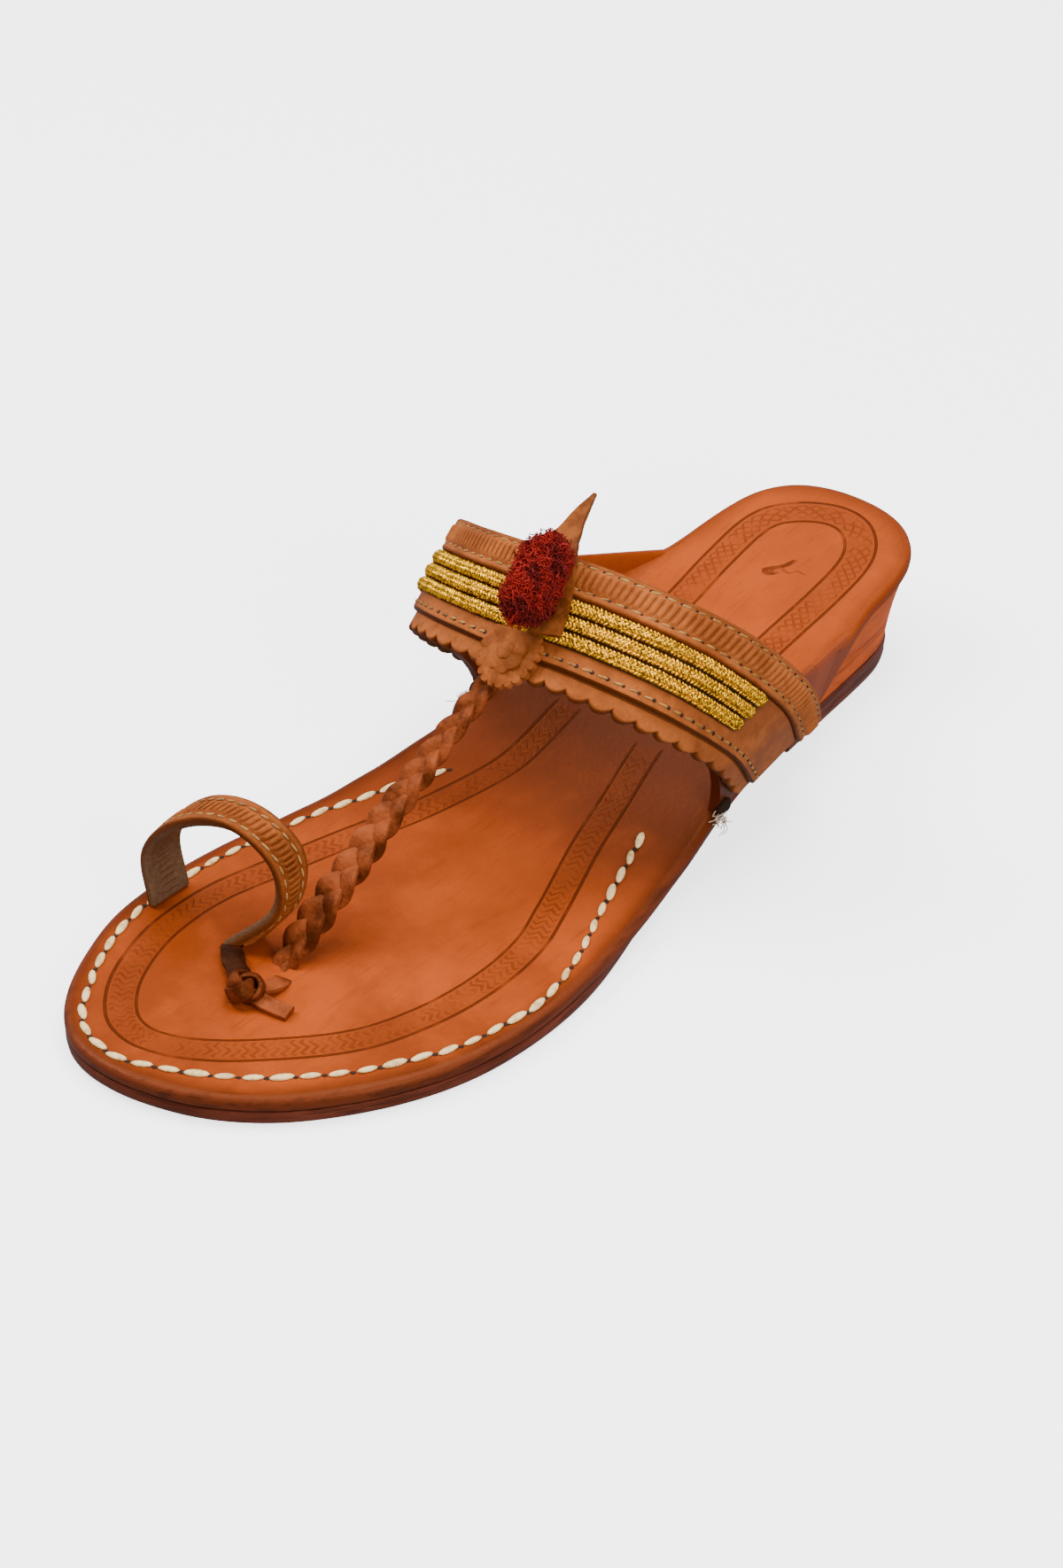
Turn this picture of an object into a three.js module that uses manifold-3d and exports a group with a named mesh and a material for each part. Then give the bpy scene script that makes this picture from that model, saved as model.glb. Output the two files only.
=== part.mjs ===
// A kolhapuri sandal for the left foot, as its maker puts it together.
// Millimetres, +Z up. The toes point to -Y, the heel to +Y, the little toe side to +X.
// A sewn sole (outsole, wedge, heel lift, top plate with two ears), an instep band
// joined with its braided toe strap, a big-toe loop and the ornaments on the band.

import * as THREE from "three";
import { mergeVertices } from "three/addons/utils/BufferGeometryUtils.js";
import Module from "manifold-3d";

const wasm = await Module();
wasm.setup();
const { Manifold, Mesh: SolidMesh } = wasm;

// ---- Driving dimensions -----------------------------------------------------

const touchGap = 0.3; // air between two pieces that touch
const outsoleThickness = 3.1;
const plateThickness = 3.4;
const liftThickness = 3.1;
const liftFront = 64; // y where the heel lift starts
const wedgeFront = 14; // y where the wedge has thinned out
const bandThickness = 2.4;
const faceThickness = 1.0; // smooth leather layer on the band
const rearStripThickness = 2.0;
const cordHeight = 1.9; // how far a gold cord stands above the smooth layer
const loopThickness = 2.6;
const braidWidth = 9.0;
const braidThickness = 4.2;
const hornThickness = 1.5;

// The sole's top outline: a row for each section from toe to heel.
const plateSections = [
  { y: -123.0, medial: -16.5, lateral: -9.5 },
  { y: -121.4, medial: -23.0, lateral: -2.0 },
  { y: -117.3, medial: -29.8, lateral: 9.0 },
  { y: -110.0, medial: -36.4, lateral: 19.5 },
  { y: -100.0, medial: -42.0, lateral: 29.0 },
  { y: -86.0, medial: -47.0, lateral: 38.2 },
  { y: -70.0, medial: -48.6, lateral: 44.4 },
  { y: -52.0, medial: -47.0, lateral: 46.6 },
  { y: -34.0, medial: -43.4, lateral: 45.4 },
  { y: -14.0, medial: -40.6, lateral: 42.2 },
  { y: 8.0, medial: -37.8, lateral: 38.0 },
  { y: 26.0, medial: -35.0, lateral: 35.0 },
  { y: 44.0, medial: -33.8, lateral: 33.8 },
  { y: 60.0, medial: -33.2, lateral: 33.2 },
  { y: 76.0, medial: -31.4, lateral: 29.2 },
  { y: 92.0, medial: -28.8, lateral: 25.0 },
  { y: 106.0, medial: -27.4, lateral: 23.6 },
  { y: 116.0, medial: -24.4, lateral: 20.2 },
  { y: 122.6, medial: -18.0, lateral: 13.6 },
  { y: 125.6, medial: -10.0, lateral: 6.0 },
  { y: 126.2, medial: -5.0, lateral: 1.0 },
];

// The outsole is cut narrower at the waist, where the plate's ears overhang it.
const outsoleSections = [
  ...plateSections.slice(0, 9),
  { y: -14.0, medial: -39.0, lateral: 40.4 },
  { y: 8.0, medial: -33.8, lateral: 34.6 },
  { y: 30.0, medial: -29.0, lateral: 29.2 },
  { y: 52.0, medial: -26.4, lateral: 25.8 },
  { y: 70.0, medial: -25.2, lateral: 23.8 },
  { y: 84.0, medial: -24.6, lateral: 22.4 },
  { y: 96.0, medial: -24.2, lateral: 21.2 },
  { y: 106.0, medial: -23.2, lateral: 19.6 },
  { y: 113.6, medial: -20.0, lateral: 16.2 },
  { y: 118.2, medial: -14.4, lateral: 10.6 },
  { y: 120.4, medial: -8.6, lateral: 4.6 },
  { y: 120.8, medial: -5.0, lateral: 1.0 },
];

// Side profile: the footbed's height and the outsole's underside, toe to heel.
const profile = [
  { y: -126, footbed: 7.9, underside: 1.1 },
  { y: -104, footbed: 6.8, underside: 0 },
  { y: -24, footbed: 6.8, underside: 0 },
  { y: 6, footbed: 9.3, underside: 2.2 },
  { y: 22, footbed: 12.9, underside: 3.2 },
  { y: 42, footbed: 17.8, underside: 3.4 },
  { y: 62, footbed: 21.8, underside: 3.4 },
  { y: 95, footbed: 27.0, underside: 3.4 },
  { y: 128, footbed: 31.0, underside: 3.4 },
];

// The band's outer face: the front and rear edge of each section, lateral to medial.
const bandSections = [
  { frontX: 38.2, frontY: 25, frontZ: 16.5, rearX: 37.6, rearY: 55, rearZ: 22.5 },
  { frontX: 41.8, frontY: 11, frontZ: 33.5, rearX: 42.4, rearY: 43, rearZ: 40.5 },
  { frontX: 36.5, frontY: -5.5, frontZ: 49.5, rearX: 38, rearY: 26, rearZ: 60 },
  { frontX: 20, frontY: -13.6, frontZ: 56.2, rearX: 20.5, rearY: 12.5, rearZ: 71.8 },
  { frontX: 0, frontY: -13.8, frontZ: 54.6, rearX: -1.5, rearY: 8, rearZ: 73.4 },
  { frontX: -21.5, frontY: -9.2, frontZ: 50, rearX: -22.5, rearY: 12, rearZ: 68 },
  { frontX: -37, frontY: 0, frontZ: 42, rearX: -39.5, rearY: 23.5, rearZ: 57.5 },
  { frontX: -42.6, frontY: 12, frontZ: 29, rearX: -44, rearY: 39, rearZ: 42 },
  { frontX: -38, frontY: 25, frontZ: 16.5, rearX: -37.4, rearY: 55, rearZ: 22.5 },
];

// Shares of the band's depth, 0 at its front edge and 1 at its rear edge.
const faceStart = 0.165;
const faceEnd = 0.71;
const rearStripStart = 0.72;
const cordShares = [0.385, 0.51, 0.635];
const cordWidthShare = 0.1;
const cordSpan = { from: 0.17, to: 0.85 }; // shares of the band's length

// The ears: flaps of the plate that stand up inside the band's two ends.
const ear = {
  footFront: 21, // y where the flap starts on the plate's edge
  footRear: 84,
  coveredShare: 0.62, // share of the flap that the band covers
  bendShare: 0.02, // shares of the band's length, measured from its end
  tipShare: 0.1,
  thickness: 2.4,
};

// The big-toe loop's outer face: front and rear edge, lateral foot to medial foot.
const loopSections = [
  { frontX: -18.6, frontY: -79.5, frontZ: 7.1, rearX: -15.6, rearY: -70.5, rearZ: 7.1 },
  { frontX: -8.6, frontY: -74, frontZ: 18, rearX: -7.4, rearY: -66.5, rearZ: 20.5 },
  { frontX: -11.0, frontY: -72.5, frontZ: 29.5, rearX: -8.5, rearY: -65, rearZ: 32 },
  { frontX: -22.5, frontY: -74.5, frontZ: 36.5, rearX: -19, rearY: -67, rearZ: 39.5 },
  { frontX: -36.5, frontY: -76.5, frontZ: 31.5, rearX: -32.5, rearY: -68, rearZ: 36 },
  { frontX: -46.0, frontY: -77.5, frontZ: 19.5, rearX: -45.0, rearY: -67.5, rearZ: 22 },
  { frontX: -43.4, frontY: -79, frontZ: 7.1, rearX: -43.4, rearY: -68, rearZ: 7.1 },
];

// The braid's middle line, from under the rosette down to the plate.
const braidRoute = [
  { x: 0.5, y: -4, z: 56.5 },
  { x: -0.4, y: -12, z: 51.5 },
  { x: -1.6, y: -22, z: 45.2 },
  { x: -3.0, y: -38, z: 34.5 },
  { x: -4.2, y: -56, z: 22.0 },
  { x: -5.8, y: -70, z: 11 },
  { x: -6.6, y: -76, z: 5 },
];

// The horn's strap lies across the band and leaves its rear edge as a curved point.
// along and across are shares on the band; rise and back lead away from its rear edge.
const hornSections = [
  { along: 0.434, across: 0.34, rise: 0, back: 0, width: 7.5 },
  { along: 0.45, across: 0.66, rise: 0, back: 0, width: 7.5 },
  { along: 0.472, across: 1, rise: 0.8, back: 0, width: 7.2 },
  { along: 0.478, across: 1, rise: 2.4, back: 4.6, width: 6 },
  { along: 0.486, across: 1, rise: 3.4, back: 10, width: 4 },
  { along: 0.492, across: 1, rise: 5.2, back: 16, width: 1 },
];

// The pompom's two lobes, as shares of the band's length and depth.
const pompomLobes = [
  { along: 0.459, across: 0.53, radius: 7.0 },
  { along: 0.465, across: 0.8, radius: 7.2 },
];
const pompomHeight = 9.2;
const rosette = { along: 0.477, across: 0.16, radius: 6.8, tierThickness: 1.5 };

// ---- Small tools ------------------------------------------------------------

// A smooth function of y through one column of a table, without overshoot.
function smoothColumn(rows, column) {
  const slopes = rows.slice(1).map((row, i) => (row[column] - rows[i][column]) / (row.y - rows[i].y));
  const tangents = rows.map((row, i) => {
    const before = slopes[Math.max(i - 1, 0)];
    const after = slopes[Math.min(i, slopes.length - 1)];
    return before * after <= 0 ? 0 : (2 * before * after) / (before + after);
  });
  return (y) => {
    let i = rows.findIndex((row) => row.y > y) - 1;
    if (i < 0) i = y < rows[0].y ? 0 : rows.length - 2;
    const span = rows[i + 1].y - rows[i].y;
    const t = THREE.MathUtils.clamp((y - rows[i].y) / span, 0, 1);
    const startPart = (1 + 2 * t) * (1 - t) ** 2 * rows[i][column] + t * (1 - t) ** 2 * span * tangents[i];
    const endPart = t * t * (3 - 2 * t) * rows[i + 1][column] + t * t * (t - 1) * span * tangents[i + 1];
    return startPart + endPart;
  };
}

// A curve through three columns of a table, a point for each row.
function tableCurve(rows, columns) {
  const points = rows.map((row) => new THREE.Vector3(...columns.map((column) => row[column])));
  return new THREE.CatmullRomCurve3(points, false, "catmullrom", 0.5);
}

// A closed solid from rings of points, each ring joined to the next one.
function solidFromRings(rings) {
  const perRing = rings[0].length;
  const positions = rings.flat().flatMap((point) => point.toArray());
  const indices = [];
  for (let r = 0; r + 1 < rings.length; r++) {
    for (let i = 0; i < perRing; i++) {
      const next = (i + 1) % perRing;
      const a = r * perRing + i;
      const b = r * perRing + next;
      indices.push(a, b, b + perRing);
      indices.push(a, b + perRing, a + perRing);
    }
  }
  for (const [ring, flipped] of [[0, true], [rings.length - 1, false]]) {
    const half = perRing / 2;
    for (let i = 0; i + 1 < half; i++) {
      const a = ring * perRing + i;
      const b = a + 1;
      const c = ring * perRing + perRing - 2 - i;
      const d = c + 1;
      if (flipped) indices.push(a, c, b, a, d, c);
      else indices.push(a, b, c, a, c, d);
    }
  }
  const geometry = new THREE.BufferGeometry();
  geometry.setAttribute("position", new THREE.Float32BufferAttribute(positions, 3));
  geometry.setIndex(indices);
  return facingOut(geometry);
}

function signedVolume(geometry) {
  const { position } = geometry.attributes;
  const corners = [new THREE.Vector3(), new THREE.Vector3(), new THREE.Vector3()];
  let volume = 0;
  for (let i = 0; i < geometry.index.count; i += 3) {
    corners.forEach((corner, k) => corner.fromBufferAttribute(position, geometry.index.getX(i + k)));
    volume += corners[0].dot(corners[1].clone().cross(corners[2])) / 6;
  }
  return volume;
}

// Turns a closed mesh so that its faces point out.
function facingOut(geometry) {
  if (signedVolume(geometry) < 0) {
    const flipped = Array.from(geometry.index.array).reverse();
    geometry.setIndex(flipped);
  }
  return geometry;
}

function toManifold(geometry) {
  const plain = new THREE.BufferGeometry();
  plain.setAttribute("position", geometry.attributes.position);
  if (geometry.index) plain.setIndex(geometry.index);
  const welded = mergeVertices(plain, 1e-4);
  return new Manifold(
    new SolidMesh({
      numProp: 3,
      vertProperties: new Float32Array(welded.attributes.position.array),
      triVerts: new Uint32Array(welded.index.array),
    }),
  );
}

function toGeometry(solid) {
  const { vertProperties, triVerts } = solid.getMesh();
  const geometry = new THREE.BufferGeometry();
  geometry.setAttribute("position", new THREE.Float32BufferAttribute(vertProperties, 3));
  geometry.setIndex(Array.from(triVerts));
  return geometry;
}

function join(...geometries) {
  const solid = geometries.map(toManifold).reduce((sum, next) => sum.add(next));
  return toGeometry(solid);
}

// ---- Sole pieces ------------------------------------------------------------

const footbedHeight = smoothColumn(profile, "footbed");
const undersideHeight = smoothColumn(profile, "underside");

// One outline level of a sole piece, drawn in by an inset, at a height given by y.
function outlineLevel(sections, steps, inset, height, clip = {}) {
  const curve = tableCurve(sections, ["y", "medial", "lateral"]);
  const rows = curve.getPoints(steps);
  const firstY = Math.max(rows[0].x, clip.from ?? -Infinity);
  const lastY = Math.min(rows[steps].x, clip.to ?? Infinity);
  const medialSide = [];
  const lateralSide = [];
  for (let i = 0; i <= steps; i++) {
    const clippedY = THREE.MathUtils.lerp(firstY, lastY, i / steps);
    const row = clip.from === undefined ? rows[i] : rowAt(curve, clippedY);
    const towardEnd = i / steps - 0.5;
    const endShare = Math.abs(towardEnd) * 2;
    const y = row.x - Math.sign(towardEnd) * inset * endShare ** 8;
    const middle = (row.y + row.z) / 2;
    const medial = Math.min(row.y + inset, middle - 1);
    const lateral = Math.max(row.z - inset, middle + 1);
    medialSide.push(new THREE.Vector3(medial, y, height(y)));
    lateralSide.push(new THREE.Vector3(lateral, y, height(y)));
  }
  return [...medialSide, ...lateralSide.reverse()];
}

// The section of an outline curve at one y.
function rowAt(curve, y) {
  let low = 0;
  let high = 1;
  for (let i = 0; i < 30; i++) {
    const middle = (low + high) / 2;
    if (curve.getPoint(middle).x < y) low = middle;
    else high = middle;
  }
  return curve.getPoint((low + high) / 2);
}

function outsoleGeometry() {
  const steps = 40;
  const top = (y) => undersideHeight(y) + outsoleThickness;
  return solidFromRings([
    outlineLevel(outsoleSections, steps, 0.8, undersideHeight),
    outlineLevel(outsoleSections, steps, 0.1, (y) => undersideHeight(y) + 0.8),
    outlineLevel(outsoleSections, steps, 0, top),
  ]);
}

function wedgeGeometry() {
  const steps = 26;
  const bottom = (y) => undersideHeight(y) + outsoleThickness + touchGap;
  const top = (y) => footbedHeight(y) - plateThickness - touchGap;
  const heelEnd = outsoleSections[outsoleSections.length - 1].y;
  const plateEnd = plateSections[plateSections.length - 1].y;
  const upperSections = outsoleSections.map((row, i) => {
    const back = THREE.MathUtils.smoothstep(row.y, 60, heelEnd);
    const plateRow = plateSections[i];
    return {
      y: THREE.MathUtils.lerp(row.y, plateRow.y, back),
      medial: THREE.MathUtils.lerp(row.medial, plateRow.medial, back),
      lateral: THREE.MathUtils.lerp(row.lateral, plateRow.lateral, back),
    };
  });
  return solidFromRings([
    outlineLevel(outsoleSections, steps, 0.2, bottom, { from: wedgeFront, to: heelEnd }),
    outlineLevel(upperSections, steps, 0.6, top, { from: wedgeFront, to: plateEnd }),
  ]);
}

function liftGeometry() {
  const steps = 20;
  const clip = { from: liftFront };
  const sections = outsoleSections.slice(-10);
  return solidFromRings([
    outlineLevel(sections, steps, 1.2, () => 0, clip),
    outlineLevel(sections, steps, 0.4, () => liftThickness, clip),
  ]);
}

// ---- The band and what follows it -------------------------------------------

const bandFront = tableCurve(bandSections, ["frontX", "frontY", "frontZ"]);
const bandRear = tableCurve(bandSections, ["rearX", "rearY", "rearZ"]);

// A point of the band's outer face: along 0 lateral to 1 medial, across 0 front to 1 rear.
function bandPoint(along, across) {
  return bandFront.getPoint(along).lerp(bandRear.getPoint(along), across);
}

// A sheet's outward normal, from its own point function.
function sheetNormal(pointAt, along, across) {
  const step = 0.002;
  const medialward = pointAt(Math.min(along + step, 1), across);
  const rearward = pointAt(along, Math.min(across + step, 1));
  medialward.sub(pointAt(Math.max(along - step, 0), across));
  rearward.sub(pointAt(along, Math.max(across - step, 0)));
  return rearward.cross(medialward).normalize();
}

// A solid between two offsets of a sheet, over a patch of it.
function sheetSolid(pointAt, patch, innerOffset, outerOffset) {
  const { from = 0, to = 1, front = () => 0, rear = () => 1, alongSteps = 36, acrossSteps = 4 } = patch;
  const rings = [];
  for (let i = 0; i <= alongSteps; i++) {
    const along = THREE.MathUtils.lerp(from, to, i / alongSteps);
    const inner = [];
    const outer = [];
    for (let j = 0; j <= acrossSteps; j++) {
      const share = j / acrossSteps;
      const across = THREE.MathUtils.lerp(front(along), rear(along), share);
      const normal = sheetNormal(pointAt, along, across);
      const place = pointAt(along, across);
      inner.push(place.clone().addScaledVector(normal, innerOffset));
      outer.push(place.clone().addScaledVector(normal, outerOffset(share, i / alongSteps)));
    }
    rings.push([...inner, ...outer.reverse()]);
  }
  return solidFromRings(rings);
}

function braidGeometry() {
  const route = new THREE.CatmullRomCurve3(braidRoute.map(({ x, y, z }) => new THREE.Vector3(x, y, z)));
  const stations = 22;
  const rings = [];
  for (let i = 0; i <= stations; i++) {
    const place = route.getPoint(i / stations);
    const ahead = route.getTangent(i / stations);
    const side = new THREE.Vector3(1, 0, 0).addScaledVector(ahead, -ahead.x).normalize();
    const up = side.clone().cross(ahead).normalize();
    const ring = [];
    for (let k = 0; k < 10; k++) {
      const angle = (k / 10) * 2 * Math.PI + Math.PI / 10;
      const flat = 1 - 0.25 * THREE.MathUtils.smoothstep(i / stations, 0.85, 1);
      ring.push(
        place
          .clone()
          .addScaledVector(side, Math.cos(angle) * (braidWidth / 2) * flat)
          .addScaledVector(up, Math.sin(angle) * (braidThickness / 2)),
      );
    }
    rings.push(ring);
  }
  return solidFromRings(rings);
}

// The upper: the band and the braided toe strap, joined where they cross.
function upperGeometry() {
  const band = toManifold(sheetSolid(bandPoint, {}, -bandThickness, () => 0));
  const aboveBand = sheetSolid(bandPoint, { from: 0.35, to: 0.65 }, -0.4, () => 14);
  const strap = toManifold(braidGeometry())
    .subtract(toManifold(aboveBand))
    .trimByPlane([0, 0, 1], footbedHeight(-75) + touchGap);
  return toGeometry(band.add(strap));
}

function faceLayerGeometry() {
  const patch = { from: 0.02, to: 0.98, front: () => faceStart, rear: () => faceEnd, acrossSteps: 3 };
  return sheetSolid(bandPoint, patch, touchGap, () => touchGap + faceThickness);
}

function rearStripGeometry() {
  const patch = { from: 0.005, to: 0.995, front: () => rearStripStart, acrossSteps: 3 };
  return sheetSolid(bandPoint, patch, touchGap, () => touchGap + rearStripThickness);
}

function cordGeometry(middle) {
  const base = 2 * touchGap + faceThickness;
  const endLength = 0.012;
  const length = cordSpan.to - cordSpan.from;
  const halfWidth = (along) => {
    const fromEnd = Math.min(along - cordSpan.from, cordSpan.to - along);
    const rounding = Math.sqrt(THREE.MathUtils.clamp(fromEnd / endLength, 0, 1));
    return (cordWidthShare / 2) * (0.35 + 0.65 * rounding);
  };
  const patch = {
    ...cordSpan,
    front: (along) => middle - halfWidth(along),
    rear: (along) => middle + halfWidth(along),
    acrossSteps: 4,
  };
  const crown = (share, run) => {
    const fromEnd = Math.min(run, 1 - run) * length;
    const taper = 0.6 + 0.4 * Math.sqrt(Math.min(fromEnd / endLength, 1));
    return base + cordHeight * taper * (0.35 + 0.65 * Math.sqrt(1 - (2 * share - 1) ** 2));
  };
  return sheetSolid(bandPoint, patch, base, crown);
}

// An ear, on the lateral side (1) or the medial side (-1).
function earGeometry(side) {
  const outline = tableCurve(plateSections, ["y", "medial", "lateral"]);
  const inset = -(bandThickness + 3 * touchGap);
  const onBand = (fromEnd, share) => {
    const along = side > 0 ? fromEnd : 1 - fromEnd;
    return bandPoint(along, share).addScaledVector(sheetNormal(bandPoint, along, share), inset);
  };
  const footPoint = (share) => {
    const y = THREE.MathUtils.lerp(ear.footFront, ear.footRear, share);
    const section = rowAt(outline, y);
    const x = side > 0 ? section.z - 0.4 : section.y + 0.4;
    return new THREE.Vector3(x, y, footbedHeight(y) - 0.8 * plateThickness);
  };
  const flapPoint = (rise, share) => {
    const foot = footPoint(share);
    const covered = Math.min(share / ear.coveredShare, 1);
    const bandShare = THREE.MathUtils.lerp(0.03, 0.97, covered);
    const falling = THREE.MathUtils.clamp((share - ear.coveredShare) / (1 - ear.coveredShare), 0, 1);
    const rest = footPoint(1).add(new THREE.Vector3(0, 0, 0.7 * plateThickness));
    const low = onBand(ear.bendShare, bandShare).lerp(foot, falling);
    const tip = onBand(ear.tipShare, bandShare).lerp(rest, Math.sin((falling * Math.PI) / 2));
    return new THREE.QuadraticBezierCurve3(foot, low, tip).getPoint(rise);
  };
  const rings = [];
  const columns = 16;
  const rises = [0, 0.3, 0.6, 0.85, 1];
  for (let i = 0; i <= columns; i++) {
    const share = i / columns;
    const outer = rises.map((rise) => flapPoint(rise, share));
    const inner = outer.map((point, k) => {
      const before = outer[Math.max(k - 1, 0)];
      const after = outer[Math.min(k + 1, outer.length - 1)];
      const run = flapPoint(rises[k], Math.min(share + 0.02, 1));
      run.sub(flapPoint(rises[k], Math.max(share - 0.02, 0)));
      const inward = after.clone().sub(before).cross(run).normalize();
      if (inward.x * side > 0) inward.negate();
      return point.clone().addScaledVector(inward, ear.thickness);
    });
    rings.push([...outer, ...inner.reverse()]);
  }
  return solidFromRings(rings);
}

// The plate: the footbed with its rounded rim and its two ears.
function plateGeometry() {
  const steps = 46;
  const underside = (y) => footbedHeight(y) - plateThickness;
  const flat = solidFromRings([
    outlineLevel(plateSections, steps, 0.3, underside),
    outlineLevel(plateSections, steps, 0, (y) => underside(y) + 0.6),
    outlineLevel(plateSections, steps, 0, (y) => footbedHeight(y) - 0.9),
    outlineLevel(plateSections, steps, 0.9, footbedHeight),
  ]);
  return join(flat, earGeometry(1), earGeometry(-1));
}

// ---- Toe loop, knot and ornaments -------------------------------------------

const loopFront = tableCurve(loopSections, ["frontX", "frontY", "frontZ"]);
const loopRear = tableCurve(loopSections, ["rearX", "rearY", "rearZ"]);
const loopPoint = (along, across) => loopFront.getPoint(along).lerp(loopRear.getPoint(along), across);

function toeLoopGeometry() {
  return sheetSolid(loopPoint, { alongSteps: 26, acrossSteps: 2 }, -loopThickness, () => 0);
}

// The knotted thong end: a strip out of its slit, a round knot and a short tail.
function knotGeometry() {
  const rest = footbedHeight(-85) + touchGap;
  const strip = (width, height, start, end) => {
    const length = start.distanceTo(end);
    const geometry = new THREE.BoxGeometry(length, width, height);
    geometry.rotateZ(Math.atan2(end.y - start.y, end.x - start.x));
    geometry.translate((start.x + end.x) / 2, (start.y + end.y) / 2, rest + height / 2);
    return geometry;
  };
  const knot = new THREE.SphereGeometry(1, 16, 10);
  knot.scale(5.2, 4.8, 4.2);
  knot.translate(-4.6, -88.8, rest + 3.6);
  const knotSolid = toManifold(knot).trimByPlane([0, 0, 1], rest);
  const slitEnd = new THREE.Vector2(-16.5, -82.4);
  const knotPlace = new THREE.Vector2(-5.5, -87.6);
  const tailEnd = new THREE.Vector2(6.2, -86.6);
  return toGeometry(
    knotSolid
      .add(toManifold(strip(5.4, 2.4, slitEnd, knotPlace)))
      .add(toManifold(strip(4.2, 2.2, knotPlace, tailEnd))),
  );
}

const hornBase = faceThickness + 3 * touchGap + cordHeight; // clear of the gold cords

// Puts a flat ornament, drawn around the origin, on the band's face.
function placeOnBand(geometry, along, across, height) {
  const normal = sheetNormal(bandPoint, along, across);
  const acrossBand = bandPoint(along, 1).sub(bandPoint(along, 0)).normalize();
  const side = acrossBand.clone().cross(normal).normalize();
  const basis = new THREE.Matrix4().makeBasis(side, normal.clone().cross(side), normal);
  geometry.applyMatrix4(basis);
  const place = bandPoint(along, across).addScaledVector(normal, height);
  geometry.translate(place.x, place.y, place.z);
  return geometry;
}

// One tier of the rosette: a disc with a pinked edge.
function rosetteTier(radius, teeth) {
  const outline = new THREE.Shape();
  const points = teeth * 4;
  for (let i = 0; i < points; i++) {
    const angle = (i / points) * 2 * Math.PI;
    const reach = radius * (1 + 0.07 * Math.cos(angle * teeth));
    const corner = [reach * Math.cos(angle), reach * Math.sin(angle)];
    if (i === 0) outline.moveTo(...corner);
    else outline.lineTo(...corner);
  }
  outline.closePath();
  return new THREE.ExtrudeGeometry(outline, { depth: rosette.tierThickness, bevelEnabled: false });
}

// The rosette's rear edge stops at the first gold cord.
function rosetteGeometry() {
  const lower = rosetteTier(rosette.radius, 14);
  const upper = rosetteTier(0.66 * rosette.radius, 11);
  upper.translate(0, 0, 0.8 * rosette.tierThickness);
  const boss = new THREE.SphereGeometry(0.28 * rosette.radius, 12, 8);
  boss.translate(0, 0, 1.7 * rosette.tierThickness);
  const flower = join(lower, upper, boss);
  placeOnBand(flower, rosette.along, rosette.across, faceThickness + 2 * touchGap);
  const cordFront = cordShares[0] - cordWidthShare / 2 - 0.015;
  const reach = 0.08;
  const cordZone = {
    from: rosette.along - reach,
    to: rosette.along + reach,
    front: () => cordFront,
    alongSteps: 8,
  };
  const keptOff = sheetSolid(bandPoint, cordZone, 0, () => 12);
  return toGeometry(toManifold(flower).subtract(toManifold(keptOff)));
}

function hornGeometry() {
  const stations = 26;
  const path = tableCurve(hornSections, ["along", "across", "width"]);
  const lift = tableCurve(hornSections, ["rise", "back", "width"]);
  const places = [];
  for (let i = 0; i <= stations; i++) {
    const spot = path.getPoint(i / stations);
    const away = lift.getPoint(i / stations);
    const across = Math.min(spot.y, 1);
    const normal = sheetNormal(bandPoint, spot.x, across);
    const place = bandPoint(spot.x, across).addScaledVector(normal, hornBase);
    const side = bandPoint(spot.x - 0.01, across).sub(bandPoint(spot.x + 0.01, across));
    place.add(new THREE.Vector3(0, away.y, away.x));
    places.push({ place, side, half: Math.max(spot.z / 2, 0.4) });
  }
  const rings = places.map(({ place, side, half }, i) => {
    const before = places[Math.max(i - 1, 0)].place;
    const after = places[Math.min(i + 1, stations)].place;
    const ahead = after.clone().sub(before).normalize();
    const width = side.addScaledVector(ahead, -ahead.dot(side)).normalize();
    const up = width.clone().cross(ahead).normalize();
    const corners = [[-1, 0], [0, 0], [1, 0], [1, hornThickness], [0, hornThickness], [-1, hornThickness]];
    return corners.map(([across, height]) =>
      place.clone().addScaledVector(width, across * half).addScaledVector(up, height),
    );
  });
  return solidFromRings(rings);
}

function pompomGeometry() {
  const halfHeight = pompomHeight / 2;
  const rest = hornBase + hornThickness + 2 * touchGap;
  const lobes = pompomLobes.map(({ along, across, radius }) => {
    const ball = new THREE.SphereGeometry(1, 14, 10);
    ball.scale(radius, radius, halfHeight);
    return placeOnBand(ball, along, across, rest + halfHeight);
  });
  return join(...lobes);
}

// ---- Materials and assembly -------------------------------------------------

const finishes = {
  sole_edge: { color: 0x4a2418, roughness: 0.6 },
  footbed: { color: 0xb4551f, roughness: 0.5 },
  wedge: { color: 0xa04a1e, roughness: 0.6 },
  strap: { color: 0x9c5f3a, roughness: 0.6 },
  braid: { color: 0x74402a, roughness: 0.6 },
  gold: { color: 0xc9982c, roughness: 0.35, metalness: 0.7 },
  wool: { color: 0x7d1518, roughness: 0.95 },
};

const sandal = new THREE.Group();

function addPiece(name, geometry, finish) {
  const material = new THREE.MeshStandardMaterial({ name: finish, ...finishes[finish] });
  const piece = new THREE.Mesh(geometry, material);
  piece.name = name;
  sandal.add(piece);
}

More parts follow.
